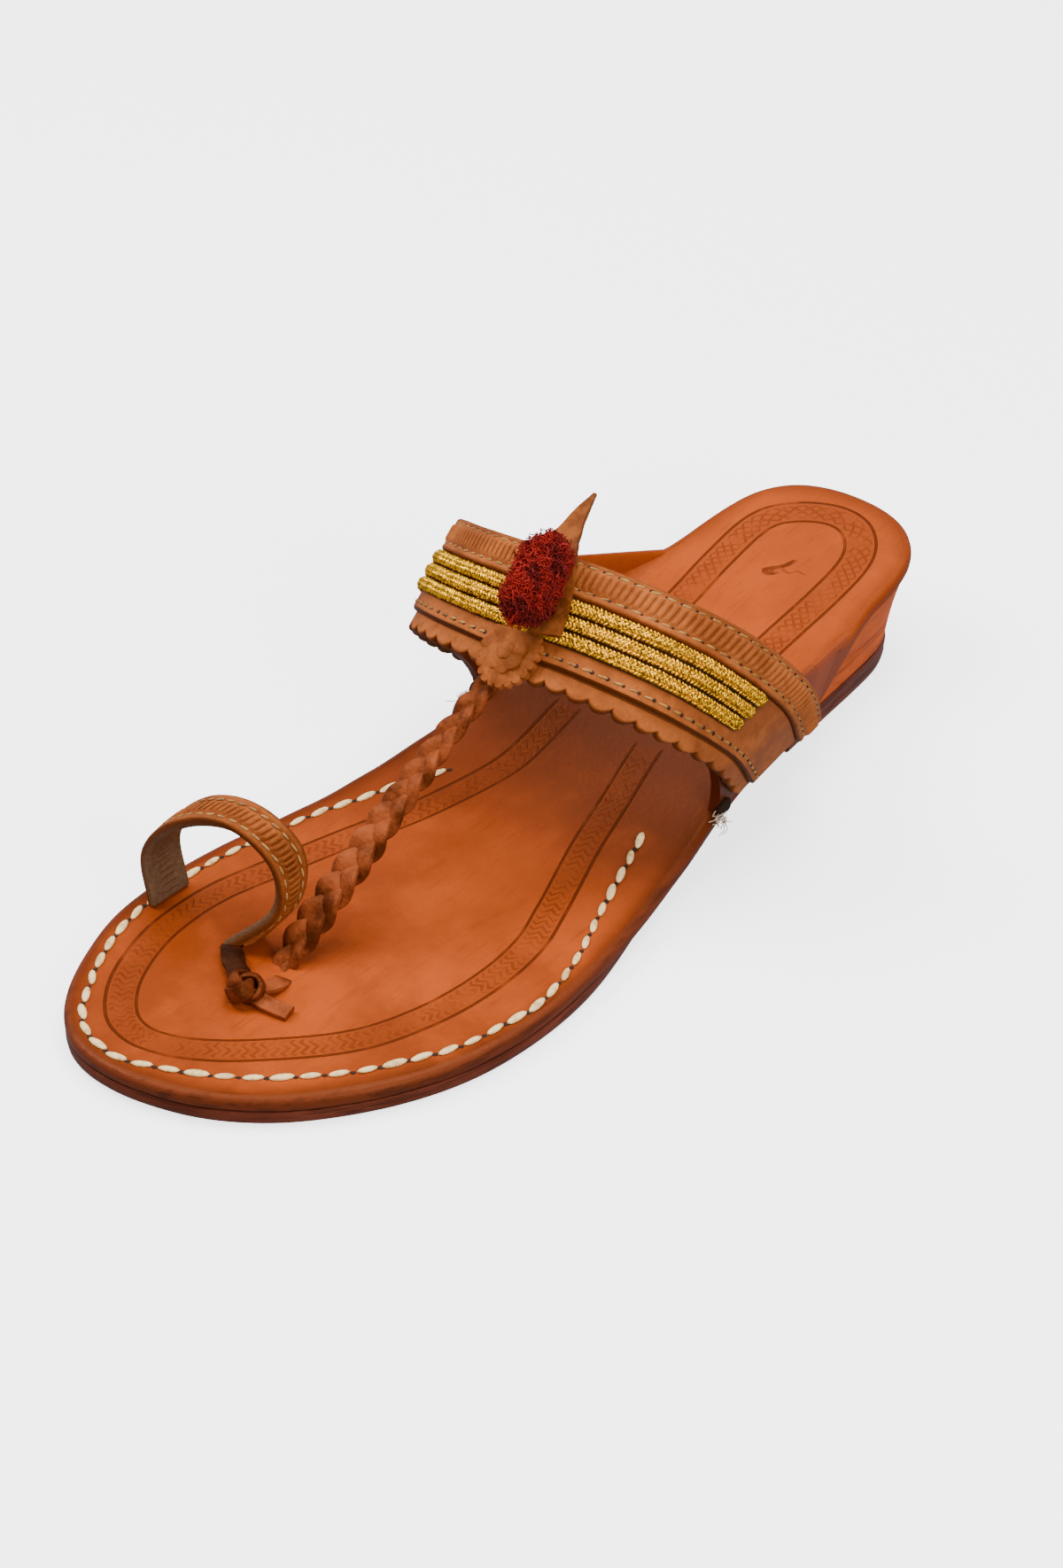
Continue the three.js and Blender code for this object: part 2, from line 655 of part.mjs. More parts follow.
addPiece("outsole", outsoleGeometry(), "sole_edge");
addPiece("heel_wedge", wedgeGeometry(), "wedge");
addPiece("heel_lift", liftGeometry(), "sole_edge");
addPiece("footbed_plate", plateGeometry(), "footbed");
addPiece("instep_band_and_toe_braid", upperGeometry(), "strap");
addPiece("band_face_leather", faceLayerGeometry(), "strap");
addPiece("band_rear_strip", rearStripGeometry(), "strap");
cordShares.forEach((share, i) => addPiece(`gold_cord_${i + 1}`, cordGeometry(share), "gold"));
addPiece("toe_loop", toeLoopGeometry(), "strap");
addPiece("thong_knot", knotGeometry(), "braid");
addPiece("rosette", rosetteGeometry(), "strap");
addPiece("horn", hornGeometry(), "strap");
addPiece("pompom", pompomGeometry(), "wool");

// The origin is on the floor, under the middle of the sandal's box.
const box = new THREE.Box3().setFromObject(sandal);
const middle = box.getCenter(new THREE.Vector3());
sandal.position.set(-middle.x, -middle.y, -box.min.z);

export default sandal;
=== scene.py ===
"""Looks of a kolhapuri sandal for the left foot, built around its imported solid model."""

import math

import bmesh
import bpy
import numpy as np
from bpy.props import FloatProperty, FloatVectorProperty, IntProperty
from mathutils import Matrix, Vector


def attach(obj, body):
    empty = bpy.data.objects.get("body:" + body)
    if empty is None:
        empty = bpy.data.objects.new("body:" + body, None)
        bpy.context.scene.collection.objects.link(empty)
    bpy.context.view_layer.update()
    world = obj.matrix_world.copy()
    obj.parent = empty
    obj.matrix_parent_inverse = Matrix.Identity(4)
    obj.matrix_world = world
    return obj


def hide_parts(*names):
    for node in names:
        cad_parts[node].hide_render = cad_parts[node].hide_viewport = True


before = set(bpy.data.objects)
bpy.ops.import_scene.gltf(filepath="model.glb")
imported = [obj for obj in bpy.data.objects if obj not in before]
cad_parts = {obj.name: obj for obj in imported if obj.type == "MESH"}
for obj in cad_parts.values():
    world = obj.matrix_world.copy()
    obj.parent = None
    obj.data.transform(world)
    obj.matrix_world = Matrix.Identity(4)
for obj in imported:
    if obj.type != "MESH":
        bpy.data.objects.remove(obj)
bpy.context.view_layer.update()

bl_info = {
    "name": "Kolhapuri sandal",
    "version": (1, 0, 0),
    "blender": (4, 5, 0),
    "location": "View3D > Sidebar > Sandal",
    "description": "Leather, braid, stitches and ornaments of a kolhapuri sandal",
    "category": "Object",
}

MM = 0.001
# The tables below are in millimetres, from a point 1 mm medial and 1.6 mm heelward of the origin.
SHIFT = np.array([1.0, -1.6, 0.0])

# ---- Tables of the sandal's own sizes ----------------------------------------

# The top plate's outline, toe to heel: y, medial x, lateral x.
PLATE_SECTIONS = [
    (-123.0, -16.5, -9.5), (-121.4, -23.0, -2.0), (-117.3, -29.8, 9.0), (-110.0, -36.4, 19.5),
    (-100.0, -42.0, 29.0), (-86.0, -47.0, 38.2), (-70.0, -48.6, 44.4), (-52.0, -47.0, 46.6),
    (-34.0, -43.4, 45.4), (-14.0, -40.6, 42.2), (8.0, -37.8, 38.0), (26.0, -35.0, 35.0),
    (44.0, -33.8, 33.8), (60.0, -33.2, 33.2), (76.0, -31.4, 29.2), (92.0, -28.8, 25.0),
    (106.0, -27.4, 23.6), (116.0, -24.4, 20.2), (122.6, -18.0, 13.6), (125.6, -10.0, 6.0),
    (126.2, -5.0, 1.0),
]

# The outsole, narrower at the waist and the heel.
OUTSOLE_SECTIONS = PLATE_SECTIONS[:9] + [
    (-14.0, -39.0, 40.4), (8.0, -33.8, 34.6), (30.0, -29.0, 29.2), (52.0, -26.4, 25.8),
    (70.0, -25.2, 23.8), (84.0, -24.6, 22.4), (96.0, -24.2, 21.2), (106.0, -23.2, 19.6),
    (113.6, -20.0, 16.2), (118.2, -14.4, 10.6), (120.4, -8.6, 4.6), (120.8, -5.0, 1.0),
]

# Side profile: y, the footbed's height, the outsole's underside.
PROFILE = [
    (-126, 7.9, 1.1), (-104, 6.8, 0), (-24, 6.8, 0), (6, 9.3, 2.2), (22, 12.9, 3.2),
    (42, 17.8, 3.4), (62, 21.8, 3.4), (95, 27.0, 3.4), (128, 31.0, 3.4),
]

# The instep band's outer face, lateral to medial: front edge x, y, z and rear edge x, y, z.
BAND_SECTIONS = [
    (38.2, 25, 16.5, 37.6, 55, 22.5), (41.8, 11, 33.5, 42.4, 43, 40.5),
    (36.5, -5.5, 49.5, 38, 26, 60), (20, -13.6, 56.2, 20.5, 12.5, 71.8),
    (0, -13.8, 54.6, -1.5, 8, 73.4), (-21.5, -9.2, 50, -22.5, 12, 68),
    (-37, 0, 42, -39.5, 23.5, 57.5), (-42.6, 12, 29, -44, 39, 42),
    (-38, 25, 16.5, -37.4, 55, 22.5),
]

# The toe loop's outer face, from its lateral foot to its medial foot, in the same columns.
LOOP_SECTIONS = [
    (-18.6, -79.5, 7.1, -15.6, -70.5, 7.1), (-8.6, -74, 18, -7.4, -66.5, 20.5),
    (-11.0, -72.5, 29.5, -8.5, -65, 32), (-22.5, -74.5, 36.5, -19, -67, 39.5),
    (-36.5, -76.5, 31.5, -32.5, -68, 36), (-46.0, -77.5, 19.5, -45.0, -67.5, 22),
    (-43.4, -79, 7.1, -43.4, -68, 7.1),
]

# The toe strap's middle line, from under the rosette to the plate.
BRAID_ROUTE = [
    (0.5, -4, 56.5), (-0.4, -12, 51.5), (-1.6, -22, 45.2), (-3.0, -38, 34.5),
    (-4.2, -56, 22.0), (-5.8, -70, 11), (-6.6, -76, 5),
]

# The horn: share along the band, share across it, rise, way back, width.
HORN_SECTIONS = [
    (0.434, 0.34, 0, 0, 7.5), (0.45, 0.66, 0, 0, 7.5), (0.472, 1, 0.8, 0, 7.2),
    (0.478, 1, 2.4, 4.6, 6), (0.486, 1, 3.4, 10, 4), (0.492, 1, 5.2, 16, 1),
]

# Lines on the footbed, x and y.
WELT_STITCH_LINE = [
    (26, 6), (33, -15), (39, -30), (42, -40), (43.5, -50), (42.5, -58), (40, -70), (35, -80),
    (29, -90), (20, -100), (12, -107), (3, -113), (-8, -118.5), (-13, -119.5), (-20, -118.5),
    (-25, -116), (-30, -111), (-37, -100), (-42, -88), (-44, -75), (-43.5, -60), (-41, -45),
    (-38, -31), (-34, -20), (-31, -12), (-26, -3),
]
FOREFOOT_TOOL_LINE = [
    (-18, 30), (-18, 10), (-23, -10), (-30, -33), (-35.5, -54), (-38, -65), (-38.7, -75), (-37.6, -86),
    (-34, -97), (-29, -105.5), (-22, -112), (-14, -114.2), (-6, -112.4), (2, -108), (10, -101.6),
    (20, -91), (26.6, -81), (31, -69), (33, -58), (33.4, -45), (31.8, -33), (28, -22), (20, 0),
    (15, 20), (13, 30),
]
HEEL_TOOL_LINE = [
    (-10.4, 58), (-11, 73), (-12.5, 88), (-13, 103), (-9.5, 109), (-2.5, 112.6), (3.5, 111), (8, 104),
    (9.5, 90), (9.5, 73), (9.4, 58),
]
HEEL_MARK_LINE = [(-0.2, 97.2), (-1.6, 93.6), (-4.4, 90.6), (-2.8, 89.6), (-0.9, 91.8)]

# Shares of the band's depth, 0 at its front edge and 1 at its rear edge.
FACE_START, FACE_END = 0.165, 0.71
RIB_STRIP_START = 0.70
CORD_SHARES = (0.385, 0.51, 0.635)
CORD_WIDTH_SHARE = 0.094
CORD_SPAN = (0.165, 0.855)
BAND_STITCH_SHARES = (0.232, 0.765, 0.955)

PLATE_THICKNESS = 3.4
OUTSOLE_THICKNESS = 3.1
BAND_THICKNESS = 2.4
FACE_HEIGHT = 1.3
STRIP_HEIGHT = 2.3
HORN_BASE = 3.8
# Where the ears rise from the plate: y at the front and at the back.
EAR_FOOT = (21.0, 84.0)
# Widths of the two tooled borders and the distances between their stamps.
FOREFOOT_BORDER, HEEL_BORDER = 6.6, 7.4
ZIGZAG_PITCH, HATCH_PITCH = 2.1, 2.6
SIDE_NAMES = {1: "lateral", -1: "medial"}
# Darker tones of the footbed: its sides, their streaks of wax, and the band's painted shadow on the waist,
# mixed with a worn stain.
MAHOGANY, WAX_STREAK, BAND_SHADOW_AND_STAIN = (0.13, 0.026, 0.010), (0.050, 0.012, 0.006), (0.058, 0.014, 0.008)


class SandalSizes(bpy.types.PropertyGroup):
    """Sizes of the sewn and plaited work."""

    welt_pitch: FloatProperty(
        name="Welt stitch pitch", description="Distance between the forefoot's white stitches",
        default=0.0058, min=0.002, unit="LENGTH", subtype="DISTANCE")
    welt_length: FloatProperty(
        name="Welt stitch length", description="Visible length of a white stitch",
        default=0.0053, min=0.001, unit="LENGTH", subtype="DISTANCE")
    band_pitch: FloatProperty(
        name="Band stitch pitch", description="Distance between the stitches on the band",
        default=0.0036, min=0.001, unit="LENGTH", subtype="DISTANCE")
    scallop_width: FloatProperty(
        name="Scallop width", description="Width of one scallop on the band's front edge",
        default=0.0062, min=0.002, unit="LENGTH", subtype="DISTANCE")
    rib_pitch: FloatProperty(
        name="Rib pitch", description="Distance between the ribs of the rear strip",
        default=0.0016, min=0.0008, unit="LENGTH", subtype="DISTANCE")
    plait_length: FloatProperty(
        name="Plait length", description="Length in which one thong crosses over and back",
        default=0.0185, min=0.008, unit="LENGTH", subtype="DISTANCE")
    wool_seed: IntProperty(
        name="Wool seed", description="Seed of the pompom's loose wool", default=7)


class SandalColours(bpy.types.PropertyGroup):
    """Colours of the leathers, threads and wool."""

    footbed: FloatVectorProperty(
        name="Footbed", description="Orange-tan of the top plate and the wedge",
        default=(0.275, 0.044, 0.006), min=0, max=1, size=3, subtype="COLOR")
    strap: FloatVectorProperty(
        name="Strap", description="Tan of the band and the toe loop",
        default=(0.34, 0.088, 0.020), min=0, max=1, size=3, subtype="COLOR")
    braid: FloatVectorProperty(
        name="Braid", description="Red-brown of the plaited strap and the knot",
        default=(0.21, 0.043, 0.012), min=0, max=1, size=3, subtype="COLOR")
    sole_edge: FloatVectorProperty(
        name="Sole edge", description="Dark brown of the outsole's edge",
        default=(0.115, 0.026, 0.015), min=0, max=1, size=3, subtype="COLOR")
    gold: FloatVectorProperty(
        name="Gold", description="Metallic braid", default=(1.0, 0.50, 0.012), min=0, max=1,
        size=3, subtype="COLOR")
    wool: FloatVectorProperty(
        name="Wool", description="Dark red of the pompom", default=(0.20, 0.007, 0.005), min=0,
        max=1, size=3, subtype="COLOR")


# ---- Curves and surfaces -------------------------------------------------------

def spline(rows):
    """A smooth curve through the rows of a table, as a function of t from 0 to 1."""
    rows = np.array(rows, float)
    padded = np.vstack([2 * rows[0] - rows[1], rows, 2 * rows[-1] - rows[-2]])

    def at(t):
        t = np.clip(np.asarray(t, float), 0, 1) * (len(rows) - 1)
        i = np.minimum(t.astype(int), len(rows) - 2)
        u = (t - i)[..., None]
        before, start, end, after = padded[i], padded[i + 1], padded[i + 2], padded[i + 3]
        square = (2 * before - 5 * start + 4 * end - after) * u**2
        cube = (3 * start - before - 3 * end + after) * u**3
        return 0.5 * (2 * start + (end - before) * u + square + cube)

    return at


def profile_curve(column):
    """A height of the side profile as a smooth function of y, without overshoot."""
    table = np.array(PROFILE, float)
    ys, values = table[:, 0], table[:, column]
    slopes = np.diff(values) / np.diff(ys)
    before = np.concatenate([slopes[:1], slopes])
    after = np.concatenate([slopes, slopes[-1:]])
    product = before * after
    total = before + after
    tangents = np.where(product > 0, 2 * product / np.where(total == 0, 1, total), 0)

    def at(y):
        y = np.asarray(y, float)
        i = np.clip(np.searchsorted(ys, y, side="right") - 1, 0, len(ys) - 2)
        span = ys[i + 1] - ys[i]
        t = np.clip((y - ys[i]) / span, 0, 1)
        start = (1 + 2 * t) * (1 - t) ** 2 * values[i] + t * (1 - t) ** 2 * span * tangents[i]
        end = t * t * (3 - 2 * t) * values[i + 1] + t * t * (t - 1) * span * tangents[i + 1]
        return start + end

    return at


footbed_height = profile_curve(1)
underside_height = profile_curve(2)


def smoothstep(value, low, high):
    t = np.clip((np.asarray(value, float) - low) / (high - low), 0, 1)
    return t * t * (3 - 2 * t)


def unit(vectors):
    return vectors / np.maximum(np.linalg.norm(vectors, axis=-1, keepdims=True), 1e-9)


class Sheet:
    """The outer face of a strap, between a front and a rear curve."""

    def __init__(self, sections):
        table = np.array(sections, float)
        self.front = spline(table[:, :3])
        self.rear = spline(table[:, 3:])

    def point(self, along, across):
        across = np.asarray(across, float)[..., None]
        return self.front(along) * (1 - across) + self.rear(along) * across

    def normal(self, along, across):
        step = 0.002
        low, high = np.clip(along - step, 0, 1), np.clip(along + step, 0, 1)
        medialward = self.point(high, across) - self.point(low, across)
        rearward = self.rear(along) - self.front(along)
        return unit(np.cross(rearward, medialward))

    def lifted(self, along, across, height):
        height = np.asarray(height, float)[..., None]
        return self.point(along, across) + self.normal(along, across) * height

    def length(self):
        middle = self.point(np.linspace(0, 1, 200), np.full(200, 0.5))
        return np.linalg.norm(np.diff(middle, axis=0), axis=1).sum()


band = Sheet(BAND_SECTIONS)
loop = Sheet(LOOP_SECTIONS)
BAND_LENGTH = band.length()


def resample(points, count):
    """The same polyline with evenly spaced points."""
    steps = np.linalg.norm(np.diff(points, axis=0), axis=1)
    run = np.concatenate([[0], np.cumsum(steps)])
    even = np.linspace(0, run[-1], count)
    return np.stack([np.interp(even, run, points[:, k]) for k in range(points.shape[1])], 1)


def rough(points, size, seed):
    """Smooth noise from -1 to 1 at points, with features of the given size."""
    rng = np.random.default_rng(seed)
    value = np.zeros(len(points))
    for _ in range(6):
        direction = unit(rng.normal(size=points.shape[1]))
        length = size * rng.uniform(0.7, 1.5)
        value += np.sin(points @ direction * 2 * math.pi / length + rng.uniform(0, 6.3))
    return value / 3.5


# ---- Meshes --------------------------------------------------------------------

def finished_mesh(name, vertices, faces, material, angle=40.0, replaces=(), merge=True):
    """A closed piece in its place, with outward faces, riding on the sandal."""
    mesh = bpy.data.meshes.new(name)
    mesh.from_pydata(((np.asarray(vertices) + SHIFT) * MM).tolist(), [], faces)
    if merge:
        work = bmesh.new()
        work.from_mesh(mesh)
        bmesh.ops.remove_doubles(work, verts=work.verts, dist=1e-6)
        bmesh.ops.recalc_face_normals(work, faces=work.faces)
        work.to_mesh(mesh)
        work.free()
    mesh.shade_smooth()
    mesh.set_sharp_from_angle(angle=math.radians(angle))
    mesh.materials.append(material)
    return placed(name, mesh, replaces)


def placed(name, mesh, replaces=()):
    """A mesh as a piece that rides on the sandal."""
    if not mesh.polygons:
        raise RuntimeError(f"{name} came out empty")
    piece = bpy.data.objects.new(name, mesh)
    bpy.context.scene.collection.objects.link(piece)
    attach(piece, "root")
    if replaces:
        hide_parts(*replaces)
    return piece


def local_points(piece):
    """A piece's vertices in the tables' millimetres."""
    points = np.zeros(len(piece.data.vertices) * 3)
    piece.data.vertices.foreach_get("co", points)
    return points.reshape(-1, 3) / MM - SHIFT


def store(piece, name, values):
    """Keeps one number for each vertex, for a material to read."""
    layer = piece.data.attributes.new(name, "FLOAT", "POINT")
    layer.data.foreach_set("value", np.asarray(values, np.float32))


def stored(piece, name):
    """The numbers that store kept for each vertex."""
    values = np.zeros(len(piece.data.vertices))
    piece.data.attributes[name].data.foreach_get("value", values)
    return values


def ring_faces(rings, size, cap=True):
    """Faces between rings of points and, on both ends, across the ring from side to side."""
    faces = []
    for r in range(rings - 1):
        for i in range(size):
            following = (i + 1) % size
            low, high = r * size, (r + 1) * size
            faces.append((low + i, low + following, high + following, high + i))
    if cap:
        for ring in (0, rings - 1):
            start = ring * size
            for i in range(size // 2 - 1):
                faces.append((start + i, start + i + 1, start + size - 2 - i, start + size - 1 - i))
    return faces


def eased(count, edge):
    """Shares from 0 to 1 that crowd within edge of both ends."""
    inner = np.linspace(edge, 1 - edge, count)
    near = edge * np.array([0, 0.12, 0.35, 0.65])
    return np.concatenate([near, inner, 1 - near[::-1]])


def rounding(distance, radius):
    """How far a rounded edge drops at a distance from the edge."""
    gap = np.clip(radius - np.asarray(distance, float), 0, radius)
    return radius - np.sqrt(np.maximum(radius**2 - gap**2, 0))


def strap_mesh(name, sheet, spans, shape, material, along_count, across_count, replaces=(), angle=40):
    """A strap of leather: shape gives the outer and inner height at run, across and edge distances."""
    (start, end), (front, rear) = spans
    length = band_run(sheet, start, end)
    shares = eased(along_count, 1.2 / length)
    along = start + (end - start) * shares
    rings, runs, depths, edges, insides = [], [], [], [], []
    for a, share in zip(along, shares):
        first, last = front(a), rear(a)
        depth = np.linalg.norm(sheet.rear(np.array(a)) - sheet.front(np.array(a))) * (last - first)
        cross = eased(across_count, 1.2 / max(depth, 3))
        across = first + (last - first) * cross
        run = share * length
        edge = np.minimum(np.minimum(cross, 1 - cross) * depth, min(run, length - run))
        outer, inner = shape(run, across, edge)
        spots = np.full(len(across), a)
        top = sheet.lifted(spots, across, outer)
        bottom = sheet.lifted(spots, across, inner)
        rings.append(np.vstack([top, bottom[::-1]]))
        runs.append(np.full(2 * len(across), run))
        depths.append(np.concatenate([across, across[::-1]]))
        edges.append(np.concatenate([edge, edge[::-1]]))
        insides.append(np.repeat([0.0, 1.0], len(across)))
    size = len(rings[0])
    piece = finished_mesh(
        name, np.vstack(rings), ring_faces(len(rings), size), material, angle, replaces, merge=False)
    store(piece, "run", np.concatenate(runs))
    store(piece, "depth", np.concatenate(depths))
    store(piece, "edge", np.concatenate(edges))
    store(piece, "inside", np.concatenate(insides))
    return turned_out(piece)


def turned_out(piece):
    """Turns all faces outwards on a closed piece."""
    work = bmesh.new()
    work.from_mesh(piece.data)
    if work.calc_volume(signed=True) < 0:
        bmesh.ops.reverse_faces(work, faces=work.faces)
    work.to_mesh(piece.data)
    work.free()
    return piece


def band_run(sheet, start, end):
    middle = sheet.point(np.linspace(start, end, 120), np.full(120, 0.5))
    return np.linalg.norm(np.diff(middle, axis=0), axis=1).sum()


def swept(path, sides, widths, thicknesses, roundness=0.7, corners=10):
    """Rings of a flat thong along a path; sides point across it."""
    ahead = unit(np.gradient(path, axis=0))
    sides = unit(sides - ahead * (sides * ahead).sum(1, keepdims=True))
    ups = np.cross(sides, ahead)
    angles = (np.arange(corners) + 0.5) / corners * 2 * math.pi
    x = np.sign(np.cos(angles)) * np.abs(np.cos(angles)) ** roundness
    y = np.sign(np.sin(angles)) * np.abs(np.sin(angles)) ** roundness
    rings = path[:, None] + sides[:, None] * (x[None, :, None] * (widths / 2)[:, None, None])
    return rings + ups[:, None] * (y[None, :, None] * (thicknesses / 2)[:, None, None])


def swept_faces(offset, rings, size):
    faces = [tuple(offset + k for k in face) for face in ring_faces(rings, size, cap=False)]
    faces.append(tuple(offset + k for k in reversed(range(size))))
    faces.append(tuple(offset + (rings - 1) * size + k for k in range(size)))
    return faces


def swept_piece(name, parts, material, angle, replaces=()):
    """One piece from several swept thongs."""
    vertices, faces = [], []
    for rings in parts:
        faces += swept_faces(sum(len(part) for part in vertices), *rings.shape[:2])
        vertices.append(rings.reshape(-1, 3))
    return finished_mesh(name, np.vstack(vertices), faces, material, angle, replaces)


def outline(sections, count, front=None):
    """A closed outline from the toe, or from a straight front, round the heel and back."""
    rows = spline(sections)(np.linspace(0, 1, 500))
    if front is not None:
        rows = rows[rows[:, 0] >= front]
    heel = [[(rows[-1, 1] + rows[-1, 2]) / 2, rows[-1, 0]]]
    toe = [] if front is not None else [[(rows[0, 1] + rows[0, 2]) / 2, rows[0, 0]]]
    sides = []
    for column in (1, 2):
        side = rows[:, [column, 0]]
        side = np.vstack([toe, side, heel]) if toe else np.vstack([side, heel])
        sides.append(resample(side, count + 1))
    line = np.vstack([sides[0], sides[1][-2::-1]])
    for _ in range(6):
        inner = (line[:-2] + 2 * line[1:-1] + line[2:]) / 4
        line[1:-1] = inner
        if front is None:
            line[0] = line[-1] = (line[1] + 2 * line[0] + line[-2]) / 4
    return line


def inset(line, distance):
    """The outline drawn in by a distance."""
    closed = np.allclose(line[0], line[-1])
    ahead = np.gradient(line, axis=0)
    if closed:
        ahead[0] = ahead[-1] = line[1] - line[-2]
    ahead = unit(ahead)
    inward = np.stack([ahead[:, 1], -ahead[:, 0]], 1)
    middle = line.mean(0)
    if ((middle - line) * inward).sum() < 0:
        inward = -inward
    return line + inward * distance


def layer_mesh(name, levels, columns, material, replaces=(), top_height=None, angle=35):
    """A layer of the sole from closed levels, with a top made of rows from side to side."""
    size = len(levels[0])
    vertices = list(levels)
    faces = ring_faces(len(levels), size, cap=False)
    half = size // 2
    for i in range(half):
        faces.append((i, i + 1, size - 2 - i, size - 1 - i))
    base = len(levels) * size
    top = levels[-1]
    shares = np.linspace(0, 1, columns + 1)[None, :, None]
    medial = top[: half + 1][:, None]
    lateral = top[size - 1 - np.arange(half + 1)][:, None]
    grid = medial * (1 - shares) + lateral * shares
    if top_height is not None:
        grid[..., 2] = top_height(grid[..., 0], grid[..., 1])
    vertices.append(grid.reshape(-1, 3))
    row = columns + 1
    for i in range(half):
        for k in range(columns):
            a = base + i * row + k
            faces.append((a, a + 1, a + row + 1, a + row))
    return finished_mesh(name, np.vstack(vertices), faces, material, angle, replaces)


def from_line(points, line):
    """Signed distance of plan points from a polyline, and the run along it."""
    line = np.asarray(line, float)
    starts, ends = line[:-1], line[1:]
    spans = ends - starts
    lengths = np.linalg.norm(spans, axis=1)
    before = np.concatenate([[0], np.cumsum(lengths)[:-1]])
    best = np.full(len(points), 1e9)
    signed = np.zeros(len(points))
    run = np.zeros(len(points))
    for start, span, length, walked in zip(starts, spans, lengths, before):
        offset = points - start
        share = np.clip(offset @ span / length**2, 0, 1)
        gap = offset - share[:, None] * span
        distance = np.linalg.norm(gap, axis=1)
        side = np.sign(span[0] * offset[:, 1] - span[1] * offset[:, 0])
        nearer = distance < best
        best = np.where(nearer, distance, best)
        signed = np.where(nearer, distance * side, signed)
        run = np.where(nearer, walked + share * length, run)
    return signed, run


# ---- Materials -----------------------------------------------------------------

class Finish:
    """A material under construction, with short calls for its nodes."""

    def __init__(self, name):
        self.material = bpy.data.materials.new(name)
        self.material.use_nodes = True
        self.tree = self.material.node_tree
        self.shader = self.tree.nodes["Principled BSDF"]
        self.place = self.tree.nodes.new("ShaderNodeTexCoord").outputs["Object"]

    def node(self, kind, **inputs):
        node = self.tree.nodes.new(kind)
        for name, value in inputs.items():
            self.put(node.inputs[name.replace("_", " ")], value)
        return node

    def put(self, socket, value):
        if isinstance(value, bpy.types.NodeSocket):
            self.tree.links.new(value, socket)
        elif isinstance(value, tuple) and len(value) == 3 and socket.type == "RGBA":
            socket.default_value = (*value, 1)
        else:
            socket.default_value = value

    def noise(self, size, detail=3.0, stretch=(1, 1, 1), roughness=0.55):
        """Noise from 0 to 1 with features of a size in metres."""
        place = self.node("ShaderNodeMapping", Vector=self.place, Scale=stretch).outputs[0]
        made = self.node(
            "ShaderNodeTexNoise", Vector=place, Scale=1 / size, Detail=detail, Roughness=roughness)
        return made.outputs["Fac"]

    def cells(self, size):
        """Distance from the middles of small cells, for pores."""
        place = self.node("ShaderNodeMapping", Vector=self.place).outputs[0]
        return self.node("ShaderNodeTexVoronoi", Vector=place, Scale=1 / size).outputs["Distance"]

    def value(self, name):
        made = self.node("ShaderNodeAttribute")
        made.attribute_name = name
        return made.outputs["Fac"]

    def math(self, operation, a, b=0.0, c=0.0):
        made = self.tree.nodes.new("ShaderNodeMath")
        made.operation = operation
        for socket, value in zip(made.inputs, (a, b, c)):
            self.put(socket, value)
        return made.outputs[0]

    def ease(self, value, low, high, to_low=0.0, to_high=1.0):
        """Maps low..high smoothly to to_low..to_high."""
        made = self.node("ShaderNodeMapRange", Value=value)
        made.interpolation_type = "SMOOTHSTEP"
        for name, number in zip(("From Min", "From Max", "To Min", "To Max"), (low, high, to_low, to_high)):
            made.inputs[name].default_value = number
        return made.outputs[0]

    def blend(self, share, a, b, mode="MIX"):
        made = self.tree.nodes.new("ShaderNodeMix")
        made.data_type = "RGBA"
        made.blend_type = mode
        for index, value in ((0, share), (6, a), (7, b)):
            self.put(made.inputs[index], value)
        return made.outputs[2]

    def relief(self, height, depth, normal=None):
        """Bump of a depth in metres for a height from 0 to 1."""
        made = self.node("ShaderNodeBump", Height=height, Distance=depth, Strength=1.0)
        if normal is not None:
            self.put(made.inputs["Normal"], normal)
        return made.outputs[0]

    def done(self, colour, rough, normal=None, **fixed):
        self.put(self.shader.inputs["Base Color"], colour)
        self.put(self.shader.inputs["Roughness"], rough)
        if normal is not None:
            self.put(self.shader.inputs["Normal"], normal)
        for name, value in fixed.items():
            self.put(self.shader.inputs[name.replace("_", " ")], value)
        return self.material


def tinted(colour, factor, warm=1.0):
    """A lighter or darker tone of a colour; warm above 1 leans to red."""
    return (min(colour[0] * factor * warm, 1), min(colour[1] * factor, 1), min(colour[2] * factor / warm, 1))


LEATHER_GLOSS = {"Specular_IOR_Level": 0.2, "Specular_Tint": (1.0, 0.42, 0.14, 1.0)}


def line_at(f, field, place, half_width):
    """1 on a tooled line where a field has a value, 0 beside it."""
    away = f.math("ABSOLUTE", f.math("SUBTRACT", field, place))
    return f.ease(away, half_width * 0.35, half_width, 1, 0)


def between(f, field, low, high):
    return f.math("MULTIPLY", f.ease(field, low, low + 0.5), f.ease(field, high - 0.5, high, 1, 0))


